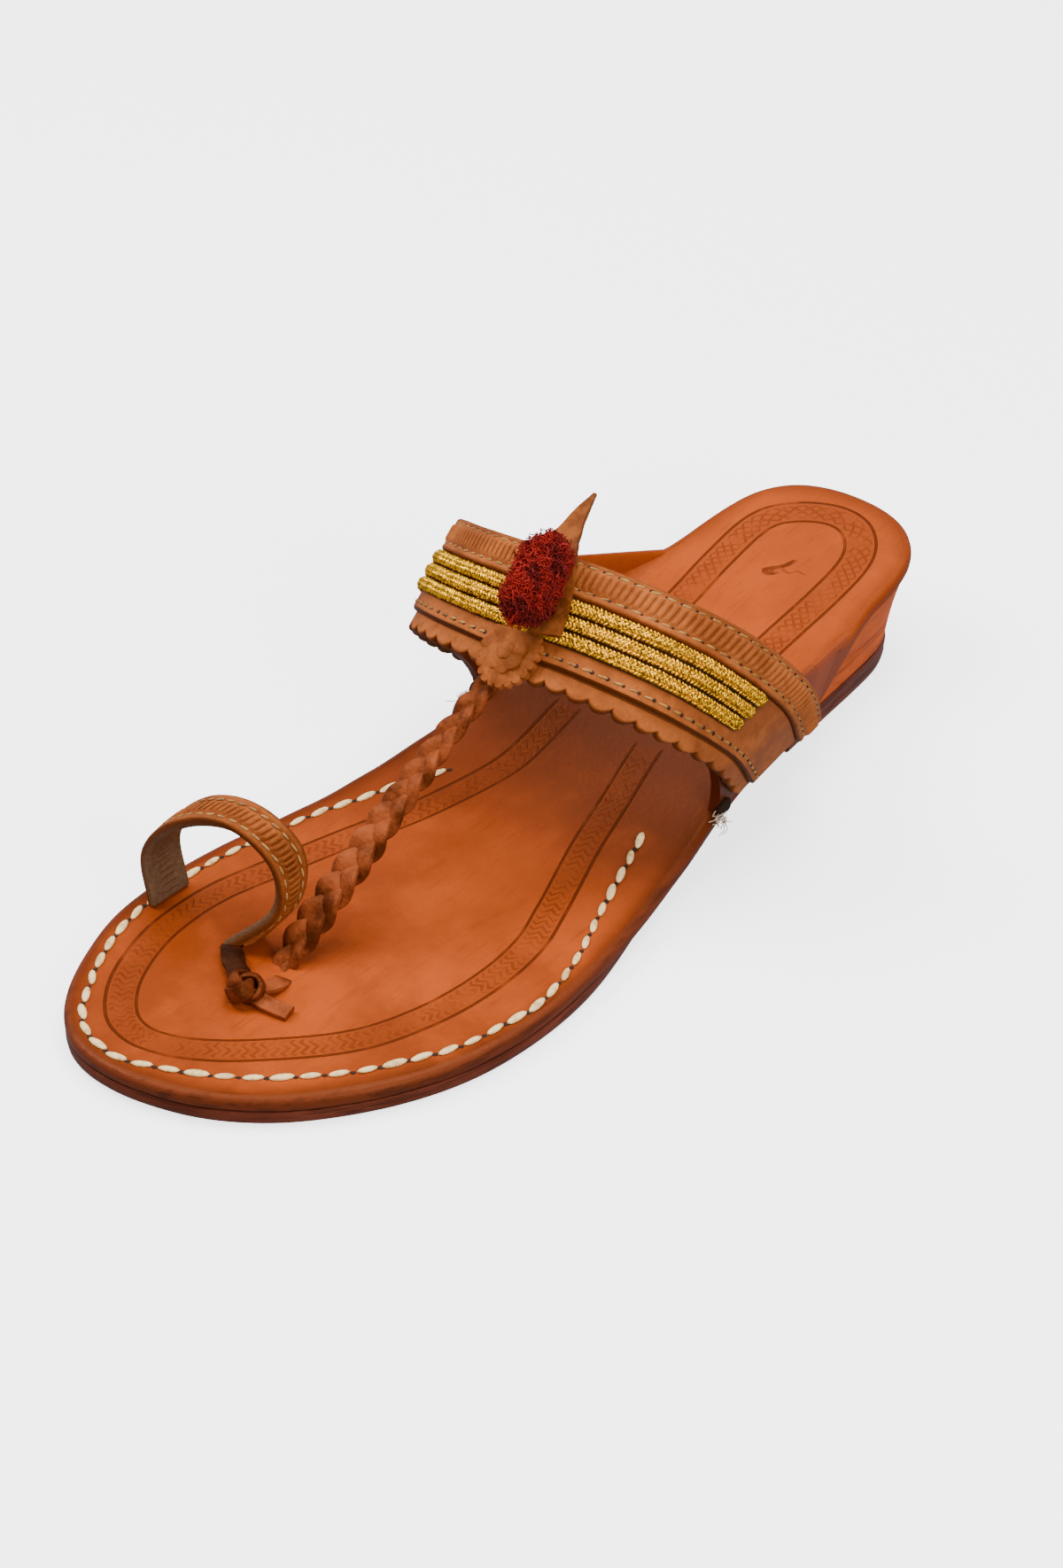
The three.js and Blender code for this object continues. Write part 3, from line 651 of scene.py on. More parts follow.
def footbed_leather(colour):
    """Burnished vegetable-tanned leather with tooled lines, stamping and a dark rim."""
    f = Finish("burnished footbed leather")
    clouds = f.noise(0.045, 5, roughness=0.6)
    patches = f.noise(0.012, 4)
    fibre = f.noise(0.006, 5, stretch=(2.2, 0.35, 1))
    grain = f.noise(0.0009, 3)
    pores = f.cells(0.0011)
    tone = f.blend(f.ease(clouds, 0.34, 0.66), tinted(colour, 0.70, 1.05), tinted(colour, 1.24))
    tone = f.blend(f.ease(patches, 0.5, 0.75, 0, 0.4), tone, tinted(colour, 1.5, 0.98))
    tone = f.blend(f.ease(fibre, 0.55, 0.8, 0, 0.35), tone, tinted(colour, 0.5, 1.05))
    # Painted light on the heel: lighter from y 55 to 100, as if lit from behind.
    heel_painted_light = f.ease(f.value("along"), 55, 100, 0, 0.45)
    tone = f.blend(heel_painted_light, tone, tinted(colour, 1.4, 0.97))
    # Painted shadow of the band on the waist, mixed with a worn stain: darker from y -30 to 35, fading out
    # from 38 to 62.
    shade = f.ease(f.value("along"), -30, 35, 0, 1)
    shade = f.math("MULTIPLY", shade, f.ease(f.value("along"), 38, 62, 1, 0))
    tone = f.blend(f.math("MULTIPLY", shade, 0.92), tone, BAND_SHADOW_AND_STAIN)
    rim = f.value("rim")
    burnish = f.math("ADD", rim, f.math("MULTIPLY", f.math("SUBTRACT", patches, 0.5), 3.0))
    at_heel = f.ease(f.value("along"), 20, 65, 1, 0.6)
    burnish = f.math("MULTIPLY", f.ease(burnish, 0.4, 6.4, 0.92, 0), at_heel)
    tone = f.blend(burnish, tone, tinted(colour, 0.28, 1.12))
    streaks = f.noise(0.004, 4, stretch=(1, 0.25, 3))
    side = f.ease(rim, 0.5, 2.3, 1, 0)
    side = f.math("MULTIPLY", side, f.ease(f.value("along"), 0, 30, 1, 0))
    tone = f.blend(f.math("MULTIPLY", side, 0.85), tone, MAHOGANY)
    tone = f.blend(f.math("MULTIPLY", side, f.ease(streaks, 0.45, 0.65, 0, 0.7)), tone, WAX_STREAK)
    tool, tool_run = f.value("tool"), f.value("tool_run")
    heel, heel_run = f.value("heel"), f.value("heel_run")
    lines = 0.0
    for name, place, half_width in (
            ("tool", 0.0, 0.42), ("tool", FOREFOOT_BORDER, 0.36), ("heel", 0.0, 0.42),
            ("heel", HEEL_BORDER, 0.42), ("mark", 0.0, 0.8)):
        line = f.math("MULTIPLY", line_at(f, f.value(name), place, half_width), f.value(name + "_on"))
        lines = f.math("MAXIMUM", lines, line)
    worn = f.ease(f.noise(0.009, 2), 0.25, 0.5, 0.45, 1)
    lines = f.math("MULTIPLY", lines, worn)
    zigzag = f.math("PINGPONG", tool, FOREFOOT_BORDER / 4)
    stamp = f.math("SINE", f.math("MULTIPLY", f.math("ADD", tool_run, zigzag), 2 * math.pi / ZIGZAG_PITCH))
    stamp = f.math("MULTIPLY", f.ease(stamp, 0.1, 0.95), between(f, tool, 0.7, FOREFOOT_BORDER - 0.5))
    stamp = f.math("MULTIPLY", stamp, f.value("tool_on"))
    scale = f.math("SINE", f.math("MULTIPLY", f.math("ADD", heel_run, heel), 2 * math.pi / HATCH_PITCH))
    cross = f.math("SINE", f.math("MULTIPLY", f.math("SUBTRACT", heel_run, heel), 2 * math.pi / HATCH_PITCH))
    hatch = f.math("MAXIMUM", f.ease(scale, 0.55, 1), f.ease(cross, 0.55, 1))
    hatch = f.math("MULTIPLY", hatch, between(f, heel, 0.9, HEEL_BORDER - 0.8))
    hatch = f.math("MULTIPLY", hatch, f.value("heel_on"))
    pressed = f.math("MULTIPLY", f.math("MAXIMUM", stamp, hatch), f.ease(f.noise(0.005, 3), 0.3, 0.62))
    framed = f.math("MULTIPLY", between(f, tool, 0.0, FOREFOOT_BORDER), f.value("tool_on"))
    heel_framed = f.math("MULTIPLY", between(f, heel, 0.0, HEEL_BORDER), f.value("heel_on"))
    framed = f.math("MAXIMUM", framed, heel_framed)
    tone = f.blend(f.math("MULTIPLY", framed, 0.28), tone, tinted(colour, 0.42, 1.05))
    tone = f.blend(f.math("MULTIPLY", pressed, 0.5), tone, tinted(colour, 0.36, 1.05))
    tone = f.blend(f.math("MULTIPLY", lines, 0.85), tone, tinted(colour, 0.20, 1.1))
    creases = f.noise(0.0022, 3, stretch=(2.6, 0.22, 1))
    tone = f.blend(f.ease(creases, 0.55, 0.75, 0, 0.35), tone, tinted(colour, 0.5, 1.05))
    fuzz = f.value("flesh")
    nap = f.noise(0.0012, 4, stretch=(1, 1, 0.4))
    flesh = f.blend(nap, (0.060, 0.018, 0.006), (0.25, 0.085, 0.030))
    tone = f.blend(fuzz, tone, flesh)
    height = f.math("ADD", f.math("MULTIPLY", grain, 0.12), f.math("MULTIPLY", pores, 0.16))
    height = f.math("SUBTRACT", height, f.math("MULTIPLY", lines, 1.6))
    height = f.math("SUBTRACT", height, f.math("MULTIPLY", pressed, 0.6))
    height = f.math("ADD", height, f.math("MULTIPLY", f.math("MULTIPLY", nap, fuzz), 2.5))
    height = f.math("ADD", height, f.math("MULTIPLY", patches, 0.8))
    gloss = f.ease(clouds, 0.3, 0.7, 0.40, 0.52)
    gloss = f.math("ADD", gloss, f.math("MULTIPLY", fuzz, 0.4))
    return f.done(tone, gloss, f.relief(height, 0.00032), **LEATHER_GLOSS)


def strap_leather(name, colour, grain_size=0.0007, roughness=0.55, edge=0.5, cloud_size=0.02, dark=0.74):
    """Smooth tan strap leather with a fine grain and cloudy tone."""
    f = Finish(name)
    clouds = f.noise(cloud_size, 5, roughness=0.6)
    spots = f.noise(0.0035, 4)
    grain = f.noise(grain_size, 3)
    cells = f.cells(grain_size * 1.6)
    tone = f.blend(f.ease(clouds, 0.36, 0.64), tinted(colour, dark, 1.06), tinted(colour, 1.18, 0.98))
    tone = f.blend(f.ease(spots, 0.55, 0.8, 0, edge), tone, tinted(colour, 0.55, 1.08))
    height = f.math("ADD", f.math("MULTIPLY", grain, 0.35), f.math("MULTIPLY", cells, 0.5))
    height = f.math("ADD", height, f.math("MULTIPLY", spots, 0.8))
    rough = f.ease(clouds, 0.3, 0.7, roughness - 0.06, roughness + 0.08)
    return f.done(tone, rough, f.relief(height, 0.00022), **LEATHER_GLOSS)


def band_leather(colour):
    """Strap leather that darkens in the grooves beside the cords and at its cut edges, with painted shade
    under and between the gold cords.
    """
    f = Finish("band leather")
    clouds = f.noise(0.016, 5, roughness=0.62)
    spots = f.noise(0.003, 4)
    fibre = f.noise(0.004, 4, stretch=(0.5, 2.0, 1.5))
    grain = f.noise(0.0006, 3)
    depth = f.value("depth")
    tone = f.blend(f.ease(clouds, 0.35, 0.65), tinted(colour, 0.58, 1.06), tinted(colour, 1.12, 0.98))
    tone = f.blend(f.ease(spots, 0.5, 0.75, 0, 0.55), tone, tinted(colour, 0.45, 1.08))
    tone = f.blend(f.ease(fibre, 0.6, 0.8, 0, 0.35), tone, tinted(colour, 1.4, 0.95))
    rim = f.math("ADD", f.value("edge"), f.math("MULTIPLY", f.math("SUBTRACT", spots, 0.5), 1.2))
    tone = f.blend(f.ease(rim, 0.1, 0.9, 0.8, 0), tone, tinted(colour, 0.22, 1.1))
    nap = f.noise(0.0011, 4)
    tone = f.blend(f.value("inside"), tone, f.blend(nap, (0.050, 0.022, 0.010), (0.17, 0.080, 0.036)))
    groove = line_at(f, depth, FACE_START, 0.02)
    groove = f.math("MAXIMUM", groove, line_at(f, depth, 0.702, 0.018))
    # Painted shade: the face turns near black under and between the gold cords.
    cords = f.math("MULTIPLY", f.ease(depth, 0.31, 0.335), f.ease(depth, 0.685, 0.70, 1, 0))
    tone = f.blend(f.math("MULTIPLY", cords, f.value("cords")), tone, (0.028, 0.012, 0.006))
    tone = f.blend(f.math("MULTIPLY", groove, 0.8), tone, tinted(colour, 0.22, 1.1))
    height = f.math("ADD", f.math("MULTIPLY", grain, 0.5), f.math("MULTIPLY", spots, 1.0))
    height = f.math("SUBTRACT", height, f.math("MULTIPLY", groove, 1.2))
    rough = f.ease(clouds, 0.3, 0.7, 0.48, 0.62)
    return f.done(tone, rough, f.relief(height, 0.00025), **LEATHER_GLOSS)


def ribbed_leather(name, colour, pitch):
    """Strap leather pressed into cross ribs between two rows of stitches."""
    f = Finish(name)
    clouds = f.noise(0.014, 5, roughness=0.62)
    spots = f.noise(0.0026, 4)
    grain = f.noise(0.0006, 3)
    wave = f.math("COSINE", f.math("MULTIPLY", f.value("run"), 2 * math.pi / pitch))
    valley = f.math("MULTIPLY", f.ease(wave, 0.35, 1.0), f.value("ribs"))
    tone = f.blend(f.ease(clouds, 0.35, 0.65), tinted(colour, 0.60, 1.06), tinted(colour, 1.12, 0.98))
    tone = f.blend(f.ease(spots, 0.5, 0.75, 0, 0.5), tone, tinted(colour, 0.45, 1.08))
    rim = f.math("ADD", f.value("edge"), f.math("MULTIPLY", f.math("SUBTRACT", spots, 0.5), 1.2))
    tone = f.blend(f.ease(rim, 0.1, 1.0, 0.8, 0), tone, tinted(colour, 0.24, 1.1))
    nap = f.noise(0.0011, 4)
    tone = f.blend(f.value("inside"), tone, f.blend(nap, (0.040, 0.020, 0.011), (0.16, 0.085, 0.045)))
    tone = f.blend(f.math("MULTIPLY", valley, 0.32), tone, tinted(colour, 0.4, 1.08))
    height = f.math("ADD", f.math("MULTIPLY", grain, 0.5), f.math("MULTIPLY", spots, 1.0))
    height = f.math("SUBTRACT", height, f.math("MULTIPLY", valley, 0.8))
    rough = f.ease(clouds, 0.3, 0.7, 0.48, 0.62)
    return f.done(tone, rough, f.relief(height, 0.00025), **LEATHER_GLOSS)


def layered_edge(name, colour, dark, layer, roughness):
    """The cut side of stacked leather: thin layers, streaks and wax."""
    f = Finish(name)
    streaks = f.noise(0.006, 5, stretch=(0.6, 0.6, 5))
    clouds = f.noise(0.02, 4)
    grain = f.noise(0.0008, 3)
    layers = f.noise(layer, 2, stretch=(0.05, 0.05, 1))
    tone = f.blend(f.ease(clouds, 0.3, 0.7), tinted(colour, 0.7, 1.04), tinted(colour, 1.2))
    tone = f.blend(f.ease(streaks, 0.5, 0.72, 0, 0.7), tone, dark)
    tone = f.blend(f.ease(layers, 0.52, 0.66, 0, 0.4), tone, dark)
    height = f.math("ADD", f.math("MULTIPLY", grain, 0.5), f.math("MULTIPLY", streaks, 0.9))
    height = f.math("SUBTRACT", height, f.math("MULTIPLY", f.ease(layers, 0.5, 0.65), 0.7))
    rough = f.ease(clouds, 0.3, 0.7, roughness - 0.08, roughness + 0.1)
    return f.done(tone, rough, f.relief(height, 0.00035), **LEATHER_GLOSS)


def thread_finish(name, colour, shadow, roughness=0.5):
    """Waxed thread with fine twisted fibres."""
    f = Finish(name)
    stain = f.noise(0.002, 3)
    twist = f.noise(0.0004, 2, stretch=(1, 1, 1))
    tone = f.blend(f.ease(stain, 0.4, 0.75), colour, shadow)
    return f.done(tone, roughness, f.relief(twist, 0.0001), Specular_IOR_Level=0.4)


def gold_finish(colour):
    """Metal-wrapped yarn: bright threads with dark ones among them, partly dull metal and partly painted
    shade between the yarns.
    """
    f = Finish("metallic gold yarn")
    spark = f.noise(0.0007, 2)
    wear = f.noise(0.006, 3)
    # The dark threads are partly dull metal, partly painted shade between the yarns.
    tone = f.blend(f.ease(spark, 0.40, 0.56), tinted(colour, 0.20, 1.1), tinted(colour, 1.05))
    tone = f.blend(f.ease(wear, 0.5, 0.75, 0, 0.4), tone, tinted(colour, 0.35, 1.05))
    rough = f.ease(spark, 0.3, 0.7, 0.42, 0.22)
    return f.done(tone, rough, f.relief(spark, 0.0002), Metallic=0.75, Specular_Tint=(1.0, 0.75, 0.2, 1.0))


def wool_finish(colour):
    f = Finish("dark red wool")
    clumps = f.noise(0.004, 3)
    tone = f.blend(f.ease(clumps, 0.35, 0.7), tinted(colour, 0.5), tinted(colour, 1.6, 1.02))
    return f.done(
        tone, 0.92, f.relief(f.noise(0.0006, 2), 0.0003), Specular_IOR_Level=0.15, Sheen_Weight=0.5,
        Sheen_Roughness=0.4, Sheen_Tint=(0.6, 0.08, 0.07, 1))


def plain_finish(name, colour, roughness):
    f = Finish(name)
    tone = f.blend(f.noise(0.003, 3), tinted(colour, 0.6), tinted(colour, 1.4))
    return f.done(tone, roughness, f.relief(f.noise(0.0008, 3), 0.0002), Specular_IOR_Level=0.2)


# ---- Geometry Nodes ------------------------------------------------------------

def new_tree(name, inputs):
    tree = bpy.data.node_groups.new(name, "GeometryNodeTree")
    tree.interface.new_socket("Geometry", in_out="INPUT", socket_type="NodeSocketGeometry")
    for label, kind, default in inputs:
        socket = tree.interface.new_socket(label, in_out="INPUT", socket_type="NodeSocket" + kind)
        if default is not None:
            socket.default_value = default
    tree.interface.new_socket("Geometry", in_out="OUTPUT", socket_type="NodeSocketGeometry")
    return tree


def tree_node(tree, kind, **settings):
    node = tree.nodes.new(kind)
    for name, value in settings.items():
        setattr(node, name, value)
    return node


def random_between(tree, low, high, seed, shift):
    """A random number for each instance."""
    node = tree_node(tree, "FunctionNodeRandomValue", data_type="FLOAT")
    node.inputs[2].default_value = low
    node.inputs[3].default_value = high
    add = tree_node(tree, "ShaderNodeMath", operation="ADD")
    add.inputs[1].default_value = shift
    tree.links.new(seed, add.inputs[0])
    tree.links.new(add.outputs[0], node.inputs["Seed"])
    return node.outputs[1]


def stitch_row_tree():
    """Rounded stitches laid along guide lines, square to the guide's facing vectors."""
    tree = new_tree("Stitch row", [
        ("Pitch", "Float", 0.006), ("Length", "Float", 0.0045), ("Width", "Float", 0.001),
        ("Height", "Float", 0.0006), ("Slant", "Float", 0.0), ("Unevenness", "Float", 0.1),
        ("Sides", "Int", 8), ("Seed", "Int", 1), ("Material", "Material", None)])
    link = tree.links.new
    given = tree_node(tree, "NodeGroupInput")
    result = tree_node(tree, "NodeGroupOutput")
    curve = tree_node(tree, "GeometryNodeMeshToCurve")
    even = tree_node(tree, "GeometryNodeResampleCurve", mode="LENGTH")
    link(given.outputs["Geometry"], curve.inputs[0])
    link(curve.outputs[0], even.inputs["Curve"])
    link(given.outputs["Pitch"], even.inputs["Length"])
    facing = tree_node(tree, "GeometryNodeInputNamedAttribute", data_type="FLOAT_VECTOR")
    facing.inputs["Name"].default_value = "facing"
    tangent = tree_node(tree, "GeometryNodeInputTangent")
    lengthwise = tree_node(tree, "FunctionNodeAlignRotationToVector", axis="X")
    upright = tree_node(tree, "FunctionNodeAlignRotationToVector", axis="Z", pivot_axis="X")
    link(tangent.outputs[0], lengthwise.inputs["Vector"])
    link(lengthwise.outputs[0], upright.inputs["Rotation"])
    link(facing.outputs["Attribute"], upright.inputs["Vector"])
    wobble = random_between(tree, -1, 1, given.outputs["Seed"], 3)
    swing = tree_node(tree, "ShaderNodeMath", operation="MULTIPLY_ADD")
    link(wobble, swing.inputs[0])
    link(given.outputs["Unevenness"], swing.inputs[1])
    link(given.outputs["Slant"], swing.inputs[2])
    angle = tree_node(tree, "ShaderNodeCombineXYZ")
    link(swing.outputs[0], angle.inputs["Z"])
    turn = tree_node(tree, "FunctionNodeEulerToRotation")
    link(angle.outputs[0], turn.inputs[0])
    turned = tree_node(tree, "FunctionNodeRotateRotation", rotation_space="LOCAL")
    link(upright.outputs[0], turned.inputs["Rotation"])
    link(turn.outputs[0], turned.inputs["Rotate By"])
    size = tree_node(tree, "ShaderNodeCombineXYZ")
    for axis in ("Length", "Width", "Height"):
        link(given.outputs[axis], size.inputs[("Length", "Width", "Height").index(axis)])
    vary = random_between(tree, 0.86, 1.1, given.outputs["Seed"], 11)
    scale = tree_node(tree, "ShaderNodeVectorMath", operation="SCALE")
    link(size.outputs[0], scale.inputs[0])
    link(vary, scale.inputs["Scale"])
    ball = tree_node(tree, "GeometryNodeMeshUVSphere")
    ball.inputs["Radius"].default_value = 0.5
    ball.inputs["Rings"].default_value = 6
    link(given.outputs["Sides"], ball.inputs["Segments"])
    copies = tree_node(tree, "GeometryNodeInstanceOnPoints")
    link(even.outputs[0], copies.inputs["Points"])
    link(ball.outputs[0], copies.inputs["Instance"])
    link(turned.outputs[0], copies.inputs["Rotation"])
    link(scale.outputs[0], copies.inputs["Scale"])
    finish_tree(tree, copies.outputs[0], given, result)
    return tree


def finish_tree(tree, geometry, given, result):
    """Every tree ends the same way: real geometry, smooth, with its material."""
    real = tree_node(tree, "GeometryNodeRealizeInstances")
    smooth = tree_node(tree, "GeometryNodeSetShadeSmooth")
    painted = tree_node(tree, "GeometryNodeSetMaterial")
    tree.links.new(geometry, real.inputs[0])
    tree.links.new(real.outputs[0], smooth.inputs["Geometry"])
    tree.links.new(smooth.outputs[0], painted.inputs["Geometry"])
    tree.links.new(given.outputs["Material"], painted.inputs["Material"])
    tree.links.new(painted.outputs[0], result.inputs[0])


def wool_tree():
    """Curled tufts that stand out of a body of wool."""
    tree = new_tree("Wool tufts", [
        ("Density", "Float", 900000.0), ("Tuft length", "Float", 0.0022), ("Curl radius", "Float", 0.0009),
        ("Strand radius", "Float", 0.0002), ("Turns", "Float", 1.6), ("Seed", "Int", 1),
        ("Material", "Material", None)])
    link = tree.links.new
    given = tree_node(tree, "NodeGroupInput")
    result = tree_node(tree, "NodeGroupOutput")
    spread = tree_node(tree, "GeometryNodeDistributePointsOnFaces", distribute_method="RANDOM")
    link(given.outputs["Geometry"], spread.inputs["Mesh"])
    link(given.outputs["Density"], spread.inputs["Density"])
    link(given.outputs["Seed"], spread.inputs["Seed"])
    curl = tree_node(tree, "GeometryNodeCurveSpiral")
    curl.inputs["Resolution"].default_value = 5
    curl.inputs["Start Radius"].default_value = 0.0002
    link(given.outputs["Turns"], curl.inputs["Rotations"])
    link(given.outputs["Curl radius"], curl.inputs["End Radius"])
    link(given.outputs["Tuft length"], curl.inputs["Height"])
    section = tree_node(tree, "GeometryNodeCurvePrimitiveCircle")
    section.inputs["Resolution"].default_value = 3
    link(given.outputs["Strand radius"], section.inputs["Radius"])
    strand = tree_node(tree, "GeometryNodeCurveToMesh")
    strand.inputs["Fill Caps"].default_value = True
    link(curl.outputs[0], strand.inputs["Curve"])
    link(section.outputs[0], strand.inputs["Profile Curve"])
    lean = tree_node(tree, "ShaderNodeCombineXYZ")
    for axis, shift in (("X", 5), ("Y", 9)):
        link(random_between(tree, -1.0, 1.0, given.outputs["Seed"], shift), lean.inputs[axis])
    link(random_between(tree, 0.0, 6.28, given.outputs["Seed"], 14), lean.inputs["Z"])
    tilt = tree_node(tree, "FunctionNodeEulerToRotation")
    link(lean.outputs[0], tilt.inputs[0])
    turned = tree_node(tree, "FunctionNodeRotateRotation", rotation_space="LOCAL")
    link(spread.outputs["Rotation"], turned.inputs["Rotation"])
    link(tilt.outputs[0], turned.inputs["Rotate By"])
    copies = tree_node(tree, "GeometryNodeInstanceOnPoints")
    link(spread.outputs["Points"], copies.inputs["Points"])
    link(strand.outputs[0], copies.inputs["Instance"])
    link(turned.outputs[0], copies.inputs["Rotation"])
    link(random_between(tree, 0.5, 1.15, given.outputs["Seed"], 21), copies.inputs["Scale"])
    finish_tree(tree, copies.outputs[0], given, result)
    return tree


def shared_tree(name, make):
    return bpy.data.node_groups.get(name) or make()


def grown(name, guide, tree, values, replaces=()):
    """A plain mesh from a guide and a tree, in place of the guide."""
    modifier = guide.modifiers.new(tree.name, "NODES")
    modifier.node_group = tree
    sockets = {s.name: s.identifier for s in tree.interface.items_tree if s.in_out == "INPUT"}
    for label, value in values.items():
        modifier[sockets[label]] = value
    guide.update_tag()
    evaluated = guide.evaluated_get(bpy.context.evaluated_depsgraph_get())
    mesh = bpy.data.meshes.new_from_object(evaluated)
    mesh.name = name
    bpy.data.objects.remove(guide)
    return placed(name, mesh, replaces)


def guide_lines(name, lines):
    """Guide lines, each a pair of points and facing vectors."""
    points, facings, edges = [], [], []
    for line, facing in lines:
        start = len(points)
        points.extend(((np.asarray(line) + SHIFT) * MM).tolist())
        facings.extend(np.asarray(facing).tolist())
        edges.extend((start + i, start + i + 1) for i in range(len(line) - 1))
    mesh = bpy.data.meshes.new(name + " guide")
    mesh.from_pydata(points, edges, [])
    layer = mesh.attributes.new("facing", "FLOAT_VECTOR", "POINT")
    layer.data.foreach_set("vector", np.asarray(facings, np.float32).ravel())
    guide = bpy.data.objects.new(name + " guide", mesh)
    bpy.context.scene.collection.objects.link(guide)
    return guide


def stitch_rows(name, lines, material, pitch, size, slant=0.0, uneven=0.1, seed=1, sides=8):
    """Rows of stitches of a length, width and height along guide lines."""
    tree = shared_tree("Stitch row", stitch_row_tree)
    values = {"Pitch": pitch, "Length": size[0], "Width": size[1], "Height": size[2], "Slant": slant,
              "Unevenness": uneven, "Sides": sides, "Seed": seed, "Material": material}
    return grown(name, guide_lines(name, lines), tree, values)


def line_on_sheet(sheet, across, height, start=0.0, end=1.0, count=240):
    along = np.linspace(start, end, count)
    shares = np.full(count, across)
    return sheet.lifted(along, shares, np.full(count, height)), sheet.normal(along, shares)


def line_on_footbed(points, height, shift=0.0):
    line = resample(spline(points)(np.linspace(0, 1, 400)), 300)
    ahead = unit(np.gradient(line, axis=0))
    line = line + ahead * shift
    spots = np.column_stack([line, footbed_height(line[:, 1]) + height])
    return spots, np.tile([0.0, 0.0, 1.0], (len(spots), 1))


# ---- Pieces of the sole --------------------------------------------------------

def sole_level(line, distance, height):
    flat = inset(line, distance)
    return np.column_stack([flat, height(flat[:, 1])])


def make_outsole(material):
    line = outline(OUTSOLE_SECTIONS, 150)
    top = OUTSOLE_THICKNESS
    steps = [(1.4, 0.0), (0.5, 0.12), (0.1, 0.6), (0.0, 1.5), (0.1, 2.6), (0.35, top)]
    levels = [sole_level(line, d, lambda y, h=h: underside_height(y) + h) for d, h in steps]
    return layer_mesh("outsole_leather", levels, 12, material, ("outsole",))


def make_wedge(material):
    low = outline(OUTSOLE_SECTIONS, 110, front=14.0)
    sections = []
    for i, row in enumerate(OUTSOLE_SECTIONS):
        back = smoothstep(row[0], 60, OUTSOLE_SECTIONS[-1][0])
        sections.append(np.array(row) * (1 - back) + np.array(PLATE_SECTIONS[i]) * back)
    high = outline(sections, 110, front=14.0)
    levels = []
    for share in np.linspace(0, 1, 9):
        line = low * (1 - share) + high * share
        hollow = 0.5 * math.sin(share * math.pi) + 0.5
        flat = inset(line, hollow)
        bottom = underside_height(flat[:, 1]) + OUTSOLE_THICKNESS
        top = footbed_height(flat[:, 1]) - PLATE_THICKNESS
        levels.append(np.column_stack([flat, bottom + (top - bottom) * share]))
    return layer_mesh("wedge_leather", levels, 4, material, ("heel_wedge",))


def make_lift(material):
    line = outline(OUTSOLE_SECTIONS, 80, front=64.0)
    steps = [(1.3, 0.0), (0.8, 0.3), (0.5, 1.6), (0.6, 3.25)]
    levels = [sole_level(line, d, lambda y, h=h: np.full(len(y), h)) for d, h in steps]
    return layer_mesh("lift_leather", levels, 4, material, ("heel_lift",))


def scoop(x, y, rim):
    """How far the footbed sweeps up towards the foot of an ear."""
    front, back = EAR_FOOT
    window = smoothstep(y, front + 1, front + 14) * smoothstep(-y, -back - 2, -back + 20)
    return rounding(rim, 7.5) * window


def make_plate_body(material):
    line = outline(PLATE_SECTIONS, 180)
    steps = [
        (0.5, -3.35), (0.1, -3.0), (0.0, -2.3), (0.0, -1.5),
        (0.2, -0.8), (0.6, -0.35), (1.2, -0.1), (2.0, 0.0)]
    levels = []
    for d, h in steps:
        flat = inset(line, d)
        rim = np.full(len(flat), d)
        wave = 0.12 * rough(flat, 17.0, 3) if d < 1.5 else 0
        raised = scoop(flat[:, 0], flat[:, 1], rim) * (1.0 if h > -3 else 0.0)
        levels.append(np.column_stack([flat, footbed_height(flat[:, 1]) + h + raised + wave]))

    def top(x, y):
        flat = np.column_stack([x.ravel(), y.ravel()])
        rim = np.abs(from_line(flat, line)[0])
        wave = 0.12 * rough(flat, 17.0, 3) * np.exp(-rim / 6)
        wave = wave + 0.18 * rough(flat, 42.0, 8) * smoothstep(rim, 2, 12)
        height = footbed_height(flat[:, 1]) + scoop(flat[:, 0], flat[:, 1], rim) + wave
        return height.reshape(x.shape)

    piece = layer_mesh("footbed_leather", levels, 46, material, ("footbed_plate",), top)
    points = local_points(piece)
    plan = points[:, :2]
    surface = points[:, 2] > footbed_height(points[:, 1]) - 1.0
    rim = np.abs(from_line(plan, line)[0])
    store(piece, "rim", np.where(surface, rim, 0))
    store(piece, "along", points[:, 1])
    store(piece, "flesh", np.zeros(len(points)))
    for name, tool in (("tool", FOREFOOT_TOOL_LINE), ("heel", HEEL_TOOL_LINE), ("mark", HEEL_MARK_LINE)):
        path = spline(tool)(np.linspace(0, 1, 160)) if len(tool) > 3 else np.array(tool, float)
        signed, run = from_line(plan, path)
        ends = (run > 0.5) & (run < np.linalg.norm(np.diff(path, axis=0), axis=1).sum() - 0.5)
        store(piece, name, signed)
        store(piece, name + "_on", (ends & surface).astype(float))
        store(piece, name + "_run", run)
    return piece


def plate_edge(side, ys):
    """The plate's edge at y: x on the lateral side for 1, on the medial side for -1."""
    table = spline(PLATE_SECTIONS)(np.linspace(0, 1, 600))
    return np.interp(ys, table[:, 0], table[:, 2 if side > 0 else 1])


def ear_point(side, rise, share):
    """A point of an ear's outer face; rise 0 at the plate to 1 at the free edge."""
    def foot_at(s):
        y = EAR_FOOT[0] + (EAR_FOOT[1] - EAR_FOOT[0]) * s
        x = plate_edge(side, y) - side * 0.3
        return np.column_stack([x, y, footbed_height(y) - 0.8 * PLATE_THICKNESS])

    covered_share = 0.62
    covered = np.minimum(share / covered_share, 1)
    across = 0.03 + 0.94 * covered
    falling = np.clip((share - covered_share) / (1 - covered_share), 0, 1)[:, None]
    drop = -(BAND_THICKNESS + 0.25)
    low_along = np.full(len(share), 0.02 if side > 0 else 0.98)
    tip_along = np.full(len(share), 0.1 if side > 0 else 0.9)
    low = band.lifted(low_along, across, np.full(len(share), drop))
    tip = band.lifted(tip_along, across, np.full(len(share), drop))
    foot = foot_at(share)
    rest = foot_at(np.ones(len(share))) + np.array([0, 0, 0.7 * PLATE_THICKNESS])
    low = low * (1 - falling) + foot * falling
    ease = np.sin(falling * math.pi / 2)
    tip = tip * (1 - ease) + rest * ease
    return (1 - rise) ** 2 * foot + 2 * rise * (1 - rise) * low + rise**2 * tip


